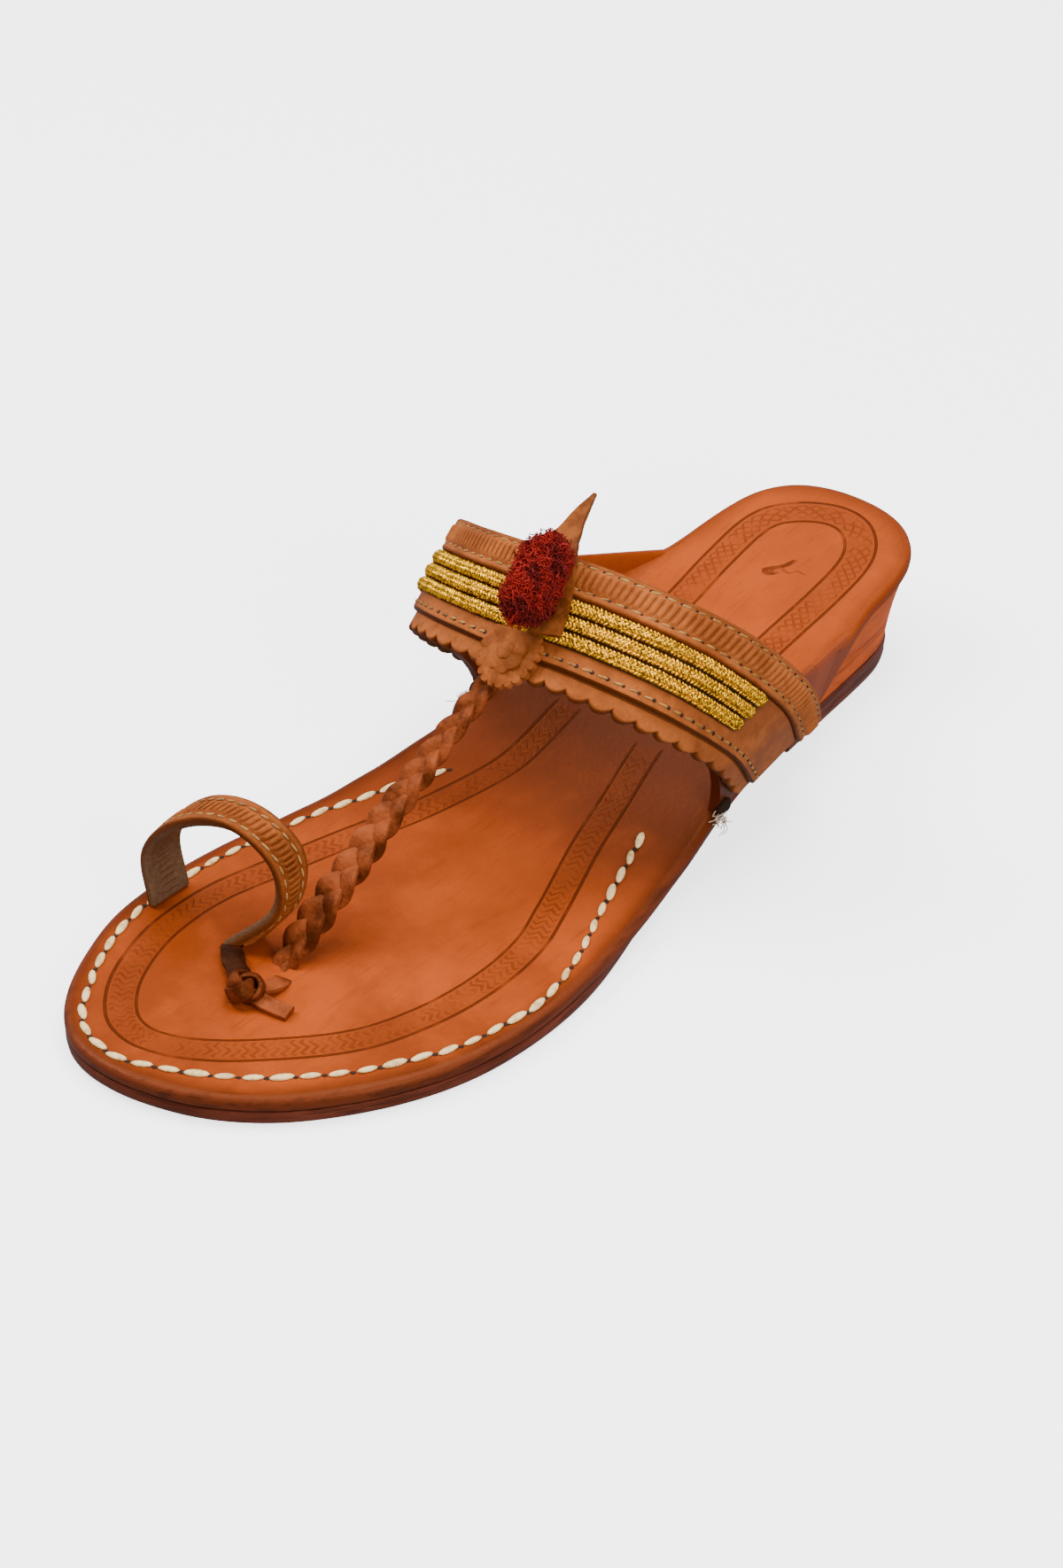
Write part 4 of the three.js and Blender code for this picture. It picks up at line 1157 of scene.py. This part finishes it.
def make_ear(side, material):
    """A turned-up flap of the plate with a raw, uneven edge."""
    columns = np.linspace(0, 1, 90)
    run = columns[:, None] * 60
    ragged = 0.02 * rough(run, 4.0, 5 + side) + 0.012 * rough(run, 1.3, 9)
    ragged *= 1 - smoothstep(columns, 0.48, 0.64)
    rises = [0, 0.12, 0.25, 0.4, 0.55, 0.7, 0.82, 0.92, 0.97, 1.0]
    outer = []
    for rise in rises:
        reach = (rise * (1 + ragged * (rise > 0.5)))[:, None]
        outer.append(ear_point(side, reach, columns))
    outer = np.stack(outer, 1)
    climb = np.gradient(outer, axis=1)
    forward = np.gradient(outer, axis=0)
    inward = unit(np.cross(climb, forward))
    inward *= -np.sign((inward[:, :, :1] * side))
    edge = np.array([0, 0, 0, 0, 0, 0, 0.05, 0.18, 0.4, 0.75])
    thickness = 2.5
    inner = outer + inward * (thickness * (1 - 0.35 * edge))[None, :, None]
    outer = outer + inward * (thickness * 0.35 * edge)[None, :, None]
    rings = np.concatenate([outer, inner[:, ::-1]], 1)
    size = rings.shape[1]
    piece = finished_mesh(
        f"{SIDE_NAMES[side]}_ear", rings.reshape(-1, 3), ring_faces(len(rings), size), material,
        merge=False)
    count = len(rises)
    flesh = np.zeros((len(rings), size))
    flesh[:, count - 2:count + 2] = 0.9
    flesh[:, count - 3] = flesh[:, count + 2] = 0.35
    flesh *= (1 - smoothstep(columns, 0.5, 0.64))[:, None]
    store(piece, "flesh", flesh.ravel())
    for name in ("tool", "heel", "mark"):
        store(piece, name, np.full(flesh.size, -50.0))
        store(piece, name + "_on", np.zeros(flesh.size))
        store(piece, name + "_run", np.zeros(flesh.size))
    points = local_points(piece)
    store(piece, "rim", np.full(flesh.size, 3.2))
    store(piece, "along", points[:, 1])
    return turned_out(piece)


# ---- Pieces of the upper -------------------------------------------------------

def make_band_base(material, sizes):
    scallop = sizes.scallop_width / MM
    count = max(round(BAND_LENGTH / scallop), 1)

    def front(along):
        phase = along * count
        bow = abs(math.sin(math.pi * phase))
        return 0.058 * (1 - bow**0.55)

    def shape(run, across, edge):
        thick = BAND_THICKNESS * 0.92
        drop = rounding(edge, 0.7)
        return -drop, np.full(len(across), -thick) + drop * 0.6

    return strap_mesh(
        "band_base", band, ((0.0, 1.0), (front, lambda along: 0.99)), shape, material, 420, 14,
        ("instep_band_and_toe_braid",))


def make_band_face(material):
    def shape(run, across, edge):
        outer = FACE_HEIGHT - rounding(edge, 0.8)
        return outer, np.full(len(across), -0.1)

    spans = ((0.008, 0.992), (lambda along: FACE_START, lambda along: FACE_END))
    return strap_mesh(
        "band_face", band, spans, shape, material, 150, 14, ("band_face_leather",))


def make_rib_strip(material, sizes):
    pitch = sizes.rib_pitch / MM

    def shape(run, across, edge):
        share = (across - RIB_STRIP_START) / (1 - RIB_STRIP_START)
        zone = smoothstep(share, 0.26, 0.36) * smoothstep(-share, -0.80, -0.70)
        valley = (0.5 + 0.5 * math.cos(2 * math.pi * run / pitch)) ** 2
        seam = 0.35 * np.exp(-((share - 0.215) / 0.05) ** 2) + 0.35 * np.exp(-((share - 0.85) / 0.05) ** 2)
        outer = STRIP_HEIGHT + 0.3 * zone - 0.4 * zone * valley - seam - rounding(edge, 1.1)
        return outer, np.full(len(across), -0.1)

    spans = ((0.003, 0.997), (lambda along: RIB_STRIP_START, lambda along: 1.0))
    piece = strap_mesh(
        "band_rib_strip", band, spans, shape, material, 620, 18, ("band_rear_strip",))
    share = (stored(piece, "depth") - RIB_STRIP_START) / (1 - RIB_STRIP_START)
    store(piece, "ribs", smoothstep(share, 0.24, 0.34) * smoothstep(-share, -0.82, -0.72))
    return piece


def make_toe_loop(material, sizes):
    pitch = sizes.rib_pitch / MM

    def shape(run, across, edge):
        zone = smoothstep(across, 0.30, 0.38) * smoothstep(-across, -0.70, -0.62)
        valley = (0.5 + 0.5 * math.cos(2 * math.pi * run / pitch)) ** 2
        seam = 0.3 * np.exp(-((across - 0.24) / 0.05) ** 2) + 0.3 * np.exp(-((across - 0.76) / 0.05) ** 2)
        outer = 0.1 + 0.3 * zone - 0.35 * zone * valley - seam - rounding(edge, 0.9)
        return outer, np.full(len(across), -2.5) + 0.5 * rounding(edge, 0.9)

    spans = ((0.0, 1.0), (lambda along: 0.0, lambda along: 1.0))
    piece = strap_mesh("toe_loop_strap", loop, spans, shape, material, 330, 22, ("toe_loop",))
    depth = stored(piece, "depth")
    store(piece, "ribs", smoothstep(depth, 0.28, 0.36) * smoothstep(-depth, -0.72, -0.64))
    return piece


def make_cord_cores(material):
    """The three raised cords under their metal yarn."""
    vertices, faces = [], []
    for share in CORD_SHARES:
        start, end = CORD_SPAN
        along = np.linspace(start, end, 160)
        rings = []
        for a in along:
            from_end = min(a - start, end - a) * BAND_LENGTH
            round_off = math.sqrt(min(from_end / 1.6, 1))
            half = CORD_WIDTH_SHARE / 2 * (0.25 + 0.75 * round_off)
            angles = np.linspace(0, math.pi, 9)
            across = share - half * np.cos(angles)
            height = FACE_HEIGHT - 0.2 + 1.65 * np.sin(angles) * (0.3 + 0.7 * round_off)
            low = np.full(9, FACE_HEIGHT - 0.4)
            spots = np.full(9, a)
            top, bottom = band.lifted(spots, across, height), band.lifted(spots, across, low)
            rings.append(np.vstack([top, bottom[::-1]]))
        offset = sum(len(part) for part in vertices)
        faces += [tuple(offset + k for k in face) for face in ring_faces(len(rings), 18)]
        vertices.append(np.vstack(rings))
    return finished_mesh(
        "gold_cord_cores", np.vstack(vertices), faces, material, 60,
        ("gold_cord_1", "gold_cord_2", "gold_cord_3"))


def make_gold_yarn(material):
    """Short slanting yarns in four rows on each cord, as in a flat plait."""
    pieces = []
    for slant, offsets in ((0.75, (-0.36, 0.12)), (-0.75, (-0.12, 0.36))):
        lines = []
        for share in CORD_SHARES:
            for offset in offsets:
                height = FACE_HEIGHT + 1.45 * math.cos(abs(offset) * 2.4)
                across = share + offset * CORD_WIDTH_SHARE
                lines.append(line_on_sheet(band, across, height, CORD_SPAN[0] + 0.005, CORD_SPAN[1] - 0.005))
        name = "gold_yarn_left" if slant > 0 else "gold_yarn_right"
        pieces.append(stitch_rows(
            name, lines, material, 0.00095, (0.00185, 0.0008, 0.00085), slant, 0.25, 5, sides=6))
    return pieces


def make_braid(material, sizes):
    """Three flat thongs plaited into one strap."""
    period = sizes.plait_length / MM
    middle = spline(BRAID_ROUTE)(np.linspace(0, 1, 420))
    middle = resample(middle, 420)
    run = np.linspace(0, np.linalg.norm(np.diff(middle, axis=0), axis=1).sum(), len(middle))
    ahead = unit(np.gradient(middle, axis=0))
    side = unit(np.array([1.0, 0, 0]) - ahead * ahead[:, :1])
    up = np.cross(side, ahead)
    up *= np.sign(up[:, 2:])
    taper = 0.62 + 0.38 * smoothstep(run, 2, 16) * smoothstep(-run, -run[-1] + 1, -run[-1] + 12)
    taper *= 0.76 + 0.3 * smoothstep(run, 18, 62)
    parts = []
    for k in range(3):
        phase = 2 * math.pi * (run / period + k / 3)
        wobble = 1 + 0.08 * rough(run[:, None], 9.0, 20 + k)
        path = middle + side * (2.05 * np.sin(phase) * taper * wobble)[:, None]
        path = path + up * (0.8 * np.sin(2 * phase) * taper + 0.3)[:, None]
        cant = unit(side + up * (0.35 * np.cos(phase))[:, None])
        parts.append(swept(path, cant, 4.1 * taper * wobble, np.full(len(run), 1.5), 0.6))
    return swept_piece("toe_strap_plait", parts, material, 50)


def thong(points, side, widths, thickness, roundness):
    """A short flat thong through a few points."""
    count = len(widths)
    path = spline(points)(np.linspace(0, 1, count))
    return swept(path, np.tile(side, (count, 1)), widths, np.full(count, thickness), roundness)


def make_knot(dark, waxed, light):
    """A dark strip out of its slit, wound into a round knot, and its flat tail."""
    rest = float(footbed_height(-85))
    knot_at = np.array([-5.0, -88.0, rest + 3.0])
    t = np.linspace(0, 1, 200)
    turn = 2 * math.pi * t
    radius = 2.5 + 1.15 * np.cos(3 * turn)
    winding = np.column_stack([
        radius * np.cos(2 * turn), radius * np.sin(2 * turn), 1.55 * np.sin(3 * turn)])
    winding = winding @ np.array([[0.87, 0.5, 0], [-0.5, 0.87, 0], [0, 0, 1.0]]) + knot_at
    outward = unit(winding - knot_at)
    across = np.cross(unit(np.gradient(winding, axis=0)), outward)
    body = swept(winding, across, np.full(200, 3.9), np.full(200, 1.5), 0.7)
    dark_strip = thong([
        (-19.5, -76.8, rest + 0.2), (-17.4, -79.4, rest + 1.5), (-13.2, -82.6, rest + 1.9),
        (-9.4, -85.2, rest + 2.6), (-6.0, -87.2, rest + 3.2)],
        [0.5, 0.86, 0.0], 5.0 + 0.35 * np.sin(np.linspace(0, 19, 60)), 1.7, 0.7)
    tail = thong([
        (-4.0, -87.6, rest + 2.4), (-1.0, -87.6, rest + 1.6), (2.4, -87.2, rest + 1.3),
        (6.4, -86.4, rest + 1.1)], [-0.2, 1.0, 0.1], np.full(40, 3.9), 1.4, 0.5)
    tab = thong([
        (-3.4, -78.0, rest - 0.4), (-2.6, -81.4, rest + 0.9), (-3.4, -84.6, rest + 1.7),
        (-4.6, -87.0, rest + 2.4)], [1.0, 0.0, 0.05], np.full(40, 4.6), 1.4, 0.5)
    return [
        swept_piece("knot_strip", [dark_strip], dark, 50),
        swept_piece("thong_knot_winding", [body], waxed, 50, ("thong_knot",)),
        swept_piece("thong_knot_ends", [tail, tab], light, 50)]


def make_corner_threads(side, material):
    """Loose thread ends where an ear's cut front edge leaves the plate."""
    rng = np.random.default_rng(11 + side)
    y = EAR_FOOT[0] + 0.4
    start = np.array([plate_edge(side, y) + side * 1.4, y, float(footbed_height(y)) + 0.3])
    drift, count = [side * 0.22, -0.55, -0.22], 14
    parts = []
    for _ in range(14):
        steps = np.cumsum(rng.normal(size=(4, 3)) * [0.55, 0.7, 0.5] + drift, axis=0)
        points = np.vstack([[0, 0, 0], steps]) + start + rng.normal(size=3) * 0.5
        path = spline(points)(np.linspace(0, 1, count))
        size = np.full(count, 0.2)
        parts.append(swept(path, np.tile([0.3, 0.4, 0.86], (count, 1)), size, size, 1.0, 5))
    return swept_piece(f"{SIDE_NAMES[side]}_thread_ends", parts, material, 60)


def make_corner_slit(side, material):
    """The cut in the plate at the front of an ear, as a dark blob of painted shade."""
    count = 24
    ys = EAR_FOOT[0] + np.linspace(-0.6, 4.4, count)
    path = np.column_stack([plate_edge(side, ys) + side * 0.9, ys, footbed_height(ys) + 1.3])
    width = 2.8 * np.sin(np.linspace(0.05, math.pi - 0.05, count)) ** 0.7
    rings = swept(path, np.tile([1.0, 0, 0], (count, 1)), width, width * 1.1, 1.0, 8)
    return swept_piece(f"{SIDE_NAMES[side]}_ear_slit", [rings], material, 60)


def band_frame(along, across, height):
    """A spot above the band with its sideways, heelward and outward directions."""
    a, c = np.array([along]), np.array([across])
    normal = band.normal(a, c)[0]
    rearward = unit(band.point(a, np.ones(1))[0] - band.point(a, np.zeros(1))[0])
    side = unit(np.cross(rearward, normal))
    return band.lifted(a, c, np.array([height]))[0], side, np.cross(normal, side), normal


def make_rosette(material):
    """Two tiers of pinked leather, cupped, with folds towards the middle."""
    place, side, rearward, normal = band_frame(0.477, 0.15, FACE_HEIGHT + 0.2)
    vertices, faces = [], []
    tiers = [(7.9, 21, 0.0, 0.1, 0.4, 0.5), (5.0, 7, 0.8, 0.25, 0.8, 0.6), (2.2, 5, 1.2, 0.1, 0.4, 0.3)]
    for radius, teeth, lift, cup, fold, droop in tiers:
        around = np.linspace(0, 2 * math.pi, 16 * teeth // 2, endpoint=False)
        shares = np.array([0.0, 0.15, 0.35, 0.55, 0.75, 0.9, 1.0])
        tooth = 1 + 0.06 * (np.abs(np.sin(around * teeth / 2)) ** 0.6 * 2 - 1)
        layers = []
        for thick in (1.0, 0.0):
            for share in (shares if thick else shares[::-1]):
                reach = radius * share * (1 + (tooth - 1) * share**3)
                if thick and share == 1.0:
                    reach = reach - 0.12
                wave = fold * share * np.sin(around * teeth / 2 + 1.0) * 0.35
                height = lift + thick + cup * share**2 + wave - 1.2 * droop * share**4
                layers.append(np.column_stack([reach * np.cos(around), reach * np.sin(around), height]))
        rings = np.array(layers)
        offset = sum(len(part) for part in vertices)
        size = rings.shape[1]
        faces += [tuple(offset + k for k in face) for face in ring_faces(len(rings), size, cap=False)]
        flat = rings.reshape(-1, 3)
        spots = place + flat[:, :1] * side + flat[:, 1:2] * rearward + flat[:, 2:] * normal
        vertices.append(spots)
    return finished_mesh("rosette_tiers", np.vstack(vertices), faces, material, 45, ("rosette",))


def make_horn(material):
    """A flat strip across the band that ends in a pointed, curled tongue."""
    t = np.linspace(0, 1, 90)
    table = spline(HORN_SECTIONS)(t)
    along, across = table[:, 0], np.minimum(table[:, 1], 1)
    path = band.lifted(along, across, np.full(len(t), HORN_BASE + 0.5))
    path = path + np.column_stack([np.zeros(len(t)), table[:, 3], table[:, 2]])
    sides = band.point(along - 0.01, across) - band.point(along + 0.01, across)
    ahead = unit(np.gradient(path, axis=0))
    sides = unit(sides - ahead * (sides * ahead).sum(1, keepdims=True))
    ups = np.cross(sides, ahead)
    half = np.maximum(table[:, 4] / 2 * (1 - 0.24 * smoothstep(t, 0.45, 0.7)), 0.3)
    across_steps = np.linspace(-1, 1, 9)
    thickness = 1.4 * (1 - 0.5 * smoothstep(t, 0.8, 1.0))
    rings = []
    for i in range(len(t)):
        curl = 0.10 * half[i] * across_steps**2 * smoothstep(t[i], 0.5, 0.75) * 2.4
        flat = path[i] + sides[i] * (across_steps * half[i])[:, None]
        top = flat + ups[i] * (curl + thickness[i] / 2)[:, None]
        bottom = flat + ups[i] * (curl - thickness[i] / 2)[:, None]
        rings.append(np.vstack([top, bottom[::-1]]))
    piece = finished_mesh(
        "horn_tongue", np.vstack(rings), ring_faces(len(rings), 18), material, 45, ("horn",),
        merge=False)
    return turned_out(piece)


def lobe_mesh(name, scale):
    """The pompom's lobes as uneven balls, in the tables' millimetres."""
    vertices, faces = [], []
    for along, across, radius, seed in ((0.460, 0.53, 7.0, 3), (0.462, 0.66, 6.6, 5), (0.465, 0.8, 7.2, 8)):
        place, side, rearward, normal = band_frame(along, across, HORN_BASE + 6.2)
        work = bmesh.new()
        bmesh.ops.create_icosphere(work, subdivisions=4, radius=1.0)
        points = np.array([v.co for v in work.verts])
        offset = sum(len(part) for part in vertices)
        faces += [tuple(offset + v.index for v in face.verts) for face in work.faces]
        work.free()
        swell = 1 + 0.09 * rough(points, 0.9, seed) + 0.04 * rough(points, 0.35, seed + 1)
        size = np.array([radius * 0.63, radius * 0.85, 5.2]) * scale
        flat = points * swell[:, None] * size
        vertices.append(place + flat[:, :1] * side + flat[:, 1:2] * rearward + flat[:, 2:] * normal)
    return np.vstack(vertices), faces


def make_pompom(material, sizes):
    vertices, faces = lobe_mesh("pompom", 0.88)
    core = finished_mesh("pompom_wool", vertices, faces, material, 180, ("pompom",))
    guide = core.copy()
    guide.data = core.data.copy()
    guide.parent = None
    bpy.context.scene.collection.objects.link(guide)
    tree = shared_tree("Wool tufts", wool_tree)
    values = {"Seed": sizes.wool_seed, "Material": material, "Density": 6000000.0, "Tuft length": 0.0023,
              "Curl radius": 0.0010, "Strand radius": 0.00014, "Turns": 0.8}
    return core, grown("pompom_tufts", guide, tree, values)


# ---- Operators -----------------------------------------------------------------

def colour_of(name):
    return tuple(getattr(bpy.context.scene.sandal_colours, name))


class SANDAL_OT_sole(bpy.types.Operator):
    """Makes the outsole, the heel wedge and the heel lift."""

    bl_idname = "sandal.sole"
    bl_label = "Sole layers"
    bl_options = {"REGISTER", "UNDO"}

    def execute(self, context):
        dark = colour_of("sole_edge")
        edge = layered_edge("waxed sole edge", dark, tinted(dark, 0.35), 0.0011, 0.42)
        make_outsole(edge)
        make_lift(edge)
        tan = tinted(colour_of("footbed"), 2.1)
        make_wedge(layered_edge("stacked wedge leather", tan, tinted(tan, 0.4, 1.1), 0.0028, 0.5))
        return {"FINISHED"}


class SANDAL_OT_footbed(bpy.types.Operator):
    """Makes the top plate with its tooling and its two ears."""

    bl_idname = "sandal.footbed"
    bl_label = "Footbed and ears"
    bl_options = {"REGISTER", "UNDO"}

    def execute(self, context):
        material = footbed_leather(colour_of("footbed"))
        make_plate_body(material)
        ends = thread_finish("loose linen thread", (0.62, 0.50, 0.36), (0.30, 0.20, 0.12))
        # Painted shade for the cuts at the front of the ears.
        cut = plain_finish("dark cut", (0.022, 0.009, 0.005), 0.9)
        for side in (1, -1):
            make_ear(side, material)
            make_corner_slit(side, cut)
            make_corner_threads(side, ends)
        return {"FINISHED"}


class SANDAL_OT_welt_stitches(bpy.types.Operator):
    """Sews the white stitches round the forefoot."""

    bl_idname = "sandal.welt_stitches"
    bl_label = "Welt stitches"
    bl_options = {"REGISTER", "UNDO"}

    def execute(self, context):
        sizes = context.scene.sandal_sizes
        ivory = thread_finish("waxed ivory thread", (0.84, 0.60, 0.28), (0.50, 0.28, 0.10))
        # The awl holes are dark flat blobs: painted shade standing for the holes.
        dark = plain_finish("awl hole", (0.022, 0.009, 0.005), 0.8)
        line = [line_on_footbed(WELT_STITCH_LINE, 0.28)]
        stitch_rows(
            "welt_stitches", line, ivory, sizes.welt_pitch,
            (sizes.welt_length, 0.0018, 0.0011), 0.12, 0.1, 2, sides=10)
        holes = [line_on_footbed(WELT_STITCH_LINE, 0.05, sizes.welt_pitch / MM / 2)]
        stitch_rows(
            "welt_awl_holes", holes, dark, sizes.welt_pitch, (0.0015, 0.0012, 0.00025), 0, 0.1, 2)
        return {"FINISHED"}


class SANDAL_OT_band(bpy.types.Operator):
    """Makes the instep band: scalloped base, smooth face and ribbed rear strip."""

    bl_idname = "sandal.band"
    bl_label = "Instep band"
    bl_options = {"REGISTER", "UNDO"}

    def execute(self, context):
        sizes = context.scene.sandal_sizes
        colour = colour_of("strap")
        leather = band_leather(colour)
        base = make_band_base(leather, sizes)
        face = make_band_face(leather)
        # The cords mask tells the face where its painted shade between the gold cords runs.
        share = stored(face, "run") / BAND_LENGTH
        store(face, "cords", smoothstep(share, 0.145, 0.16) * smoothstep(-share, -0.86, -0.845))
        store(base, "cords", np.zeros(len(base.data.vertices)))
        make_rib_strip(ribbed_leather("ribbed band leather", colour, sizes.rib_pitch / MM), sizes)
        return {"FINISHED"}


class SANDAL_OT_band_stitches(bpy.types.Operator):
    """Sews the three rows of stitches along the band."""

    bl_idname = "sandal.band_stitches"
    bl_label = "Band stitches"
    bl_options = {"REGISTER", "UNDO"}

    def execute(self, context):
        sizes = context.scene.sandal_sizes
        thread = thread_finish("tan strap thread", (0.36, 0.17, 0.030), (0.13, 0.045, 0.010))
        # The needle holes are dark flat blobs: painted shade standing for the holes.
        dark = plain_finish("needle hole", (0.03, 0.012, 0.006), 0.8)
        heights = (FACE_HEIGHT, STRIP_HEIGHT - 0.35, STRIP_HEIGHT - 0.35)
        lines = [line_on_sheet(band, s, h + 0.02, 0.02, 0.98) for s, h in zip(BAND_STITCH_SHARES, heights)]
        stitch_rows(
            "band_stitches", lines, thread, sizes.band_pitch, (0.0026, 0.00062, 0.0005),
            0.1, 0.1, 4)
        half = sizes.band_pitch / MM / 2 / BAND_LENGTH
        holes = [
            line_on_sheet(band, s, h - 0.02, 0.02 + half, 0.98)
            for s, h in zip(BAND_STITCH_SHARES, heights)]
        stitch_rows(
            "band_needle_holes", holes, dark, sizes.band_pitch, (0.0011, 0.0010, 0.00035), 0, 0, 4)
        return {"FINISHED"}


class SANDAL_OT_gold_cords(bpy.types.Operator):
    """Makes the three gold cords and their metal yarn."""

    bl_idname = "sandal.gold_cords"
    bl_label = "Gold cords"
    bl_options = {"REGISTER", "UNDO"}

    def execute(self, context):
        gold = gold_finish(colour_of("gold"))
        make_cord_cores(gold)
        make_gold_yarn(gold)
        return {"FINISHED"}


class SANDAL_OT_toe_strap(bpy.types.Operator):
    """Plaits the toe strap and ties the thong's knot."""

    bl_idname = "sandal.toe_strap"
    bl_label = "Plaited toe strap"
    bl_options = {"REGISTER", "UNDO"}

    def execute(self, context):
        sizes = context.scene.sandal_sizes
        colour = colour_of("braid")
        plait = strap_leather("plaited thong leather", colour, 0.0006, 0.5, 0.8, 0.008, 0.30)
        make_braid(plait, sizes)
        dark = strap_leather("darkened strip leather", tinted(colour, 0.15), 0.0006, 0.5, 0.6, 0.004, 0.4)
        waxed = strap_leather("waxed knot leather", tinted(colour, 0.42, 1.1), 0.0006, 0.42, 0.6, 0.004, 0.4)
        make_knot(dark, waxed, plait)
        return {"FINISHED"}


class SANDAL_OT_toe_loop(bpy.types.Operator):
    """Makes the big-toe loop with its ribs and its two rows of stitches."""

    bl_idname = "sandal.toe_loop"
    bl_label = "Toe loop"
    bl_options = {"REGISTER", "UNDO"}

    def execute(self, context):
        sizes = context.scene.sandal_sizes
        tan = tinted(colour_of("strap"), 0.72, 1.04)
        leather = ribbed_leather("ribbed loop leather", tan, sizes.rib_pitch / MM)
        make_toe_loop(leather, sizes)
        thread = thread_finish("tan loop thread", (0.34, 0.17, 0.045), (0.15, 0.06, 0.018))
        lines = [line_on_sheet(loop, share, 0.0, 0.08, 0.97) for share in (0.22, 0.78)]
        stitch_rows("loop_stitches", lines, thread, 0.003, (0.0024, 0.00058, 0.0005), 0.1, 0.1, 6)
        return {"FINISHED"}


class SANDAL_OT_ornaments(bpy.types.Operator):
    """Makes the rosette, the horn and the wool pompom."""

    bl_idname = "sandal.ornaments"
    bl_label = "Ornaments"
    bl_options = {"REGISTER", "UNDO"}

    def execute(self, context):
        sizes = context.scene.sandal_sizes
        tan = colour_of("strap")
        make_rosette(strap_leather("rosette leather", tinted(tan, 0.8), 0.0006, 0.6, 0.7, 0.006, 0.6))
        make_horn(strap_leather("horn leather", tinted(tan, 0.55), 0.0006, 0.5, 0.7, 0.005, 0.5))
        make_pompom(wool_finish(colour_of("wool")), sizes)
        return {"FINISHED"}


class SANDAL_OT_stage(bpy.types.Operator):
    """Sets the pale floor, the soft lights and the camera."""

    bl_idname = "sandal.stage"
    bl_label = "Stage"
    bl_options = {"REGISTER", "UNDO"}

    def execute(self, context):
        floor = bpy.data.meshes.new("studio_floor")
        reach = 3.0
        corners = [(-reach, -reach, 0), (reach, -reach, 0), (reach, reach, 0), (-reach, reach, 0)]
        floor.from_pydata(corners, [], [(0, 1, 2, 3)])
        paint = Finish("pale floor")
        grain = paint.noise(0.3, 2)
        floor.materials.append(paint.done(
            paint.blend(grain, (0.90, 0.90, 0.91), (0.94, 0.94, 0.945)), 0.7,
            Emission_Color=(1.0, 1.0, 1.0, 1), Emission_Strength=2.2))
        ground = bpy.data.objects.new("studio_floor", floor)
        bpy.context.scene.collection.objects.link(ground)
        ground.visible_diffuse = False
        ground.visible_glossy = False
        world = bpy.data.worlds.new("studio")
        bpy.context.scene.world = world
        world.use_nodes = True
        sky = world.node_tree.nodes["Background"]
        sky.inputs["Color"].default_value = (0.95, 0.97, 1.0, 1)
        sky.inputs["Strength"].default_value = 0.5
        aim = Vector((0.0, 0.01, 0.03))
        for name, place, size, power in (
                ("left softbox", (-0.75, -0.35, 1.1), 0.6, 18.0),
                ("top softbox", (0.0, 0.3, 1.4), 0.8, 25.0),
                ("lateral softbox", (1.2, -0.45, 0.75), 0.7, 19.0)):
            light = bpy.data.lights.new(name, "AREA")
            light.shape = "SQUARE"
            light.size = size
            light.energy = power
            lamp = bpy.data.objects.new(name, light)
            lamp.location = place
            lamp.rotation_euler = (aim - Vector(place)).to_track_quat("-Z", "Y").to_euler()
            bpy.context.scene.collection.objects.link(lamp)
        lens = bpy.data.cameras.new("studio camera")
        lens.lens = 84.0
        lens.sensor_width = 36.0
        lens.clip_start = 0.01
        camera = bpy.data.objects.new("studio camera", lens)
        camera.location = (0.4266, -0.5043, 0.5018)
        target = Vector((0.006, -0.008, 0.022))
        camera.rotation_euler = (target - camera.location).to_track_quat("-Z", "Y").to_euler()
        bpy.context.scene.collection.objects.link(camera)
        bpy.context.scene.camera = camera
        return {"FINISHED"}


STEPS = (
    SANDAL_OT_sole, SANDAL_OT_footbed, SANDAL_OT_welt_stitches, SANDAL_OT_band, SANDAL_OT_band_stitches,
    SANDAL_OT_gold_cords, SANDAL_OT_toe_strap, SANDAL_OT_toe_loop, SANDAL_OT_ornaments, SANDAL_OT_stage,
)


class SANDAL_PT_panel(bpy.types.Panel):
    """Lists the sandal's sizes, colours and steps."""

    bl_label = "Kolhapuri sandal"
    bl_idname = "SANDAL_PT_panel"
    bl_space_type = "VIEW_3D"
    bl_region_type = "UI"
    bl_category = "Sandal"

    def draw(self, context):
        for group in (context.scene.sandal_sizes, context.scene.sandal_colours):
            box = self.layout.box()
            for name in group.__annotations__:
                box.prop(group, name)
        for step in STEPS:
            self.layout.operator(step.bl_idname)


CLASSES = (SandalSizes, SandalColours, *STEPS, SANDAL_PT_panel)


def register():
    for item in CLASSES:
        bpy.utils.register_class(item)
    bpy.types.Scene.sandal_sizes = bpy.props.PointerProperty(type=SandalSizes)
    bpy.types.Scene.sandal_colours = bpy.props.PointerProperty(type=SandalColours)


def unregister():
    del bpy.types.Scene.sandal_colours
    del bpy.types.Scene.sandal_sizes
    for item in reversed(CLASSES):
        bpy.utils.unregister_class(item)


def main():
    register()
    for step in STEPS:
        group, name = step.bl_idname.split(".")
        getattr(getattr(bpy.ops, group), name)()


if __name__ == "__main__":
    main()
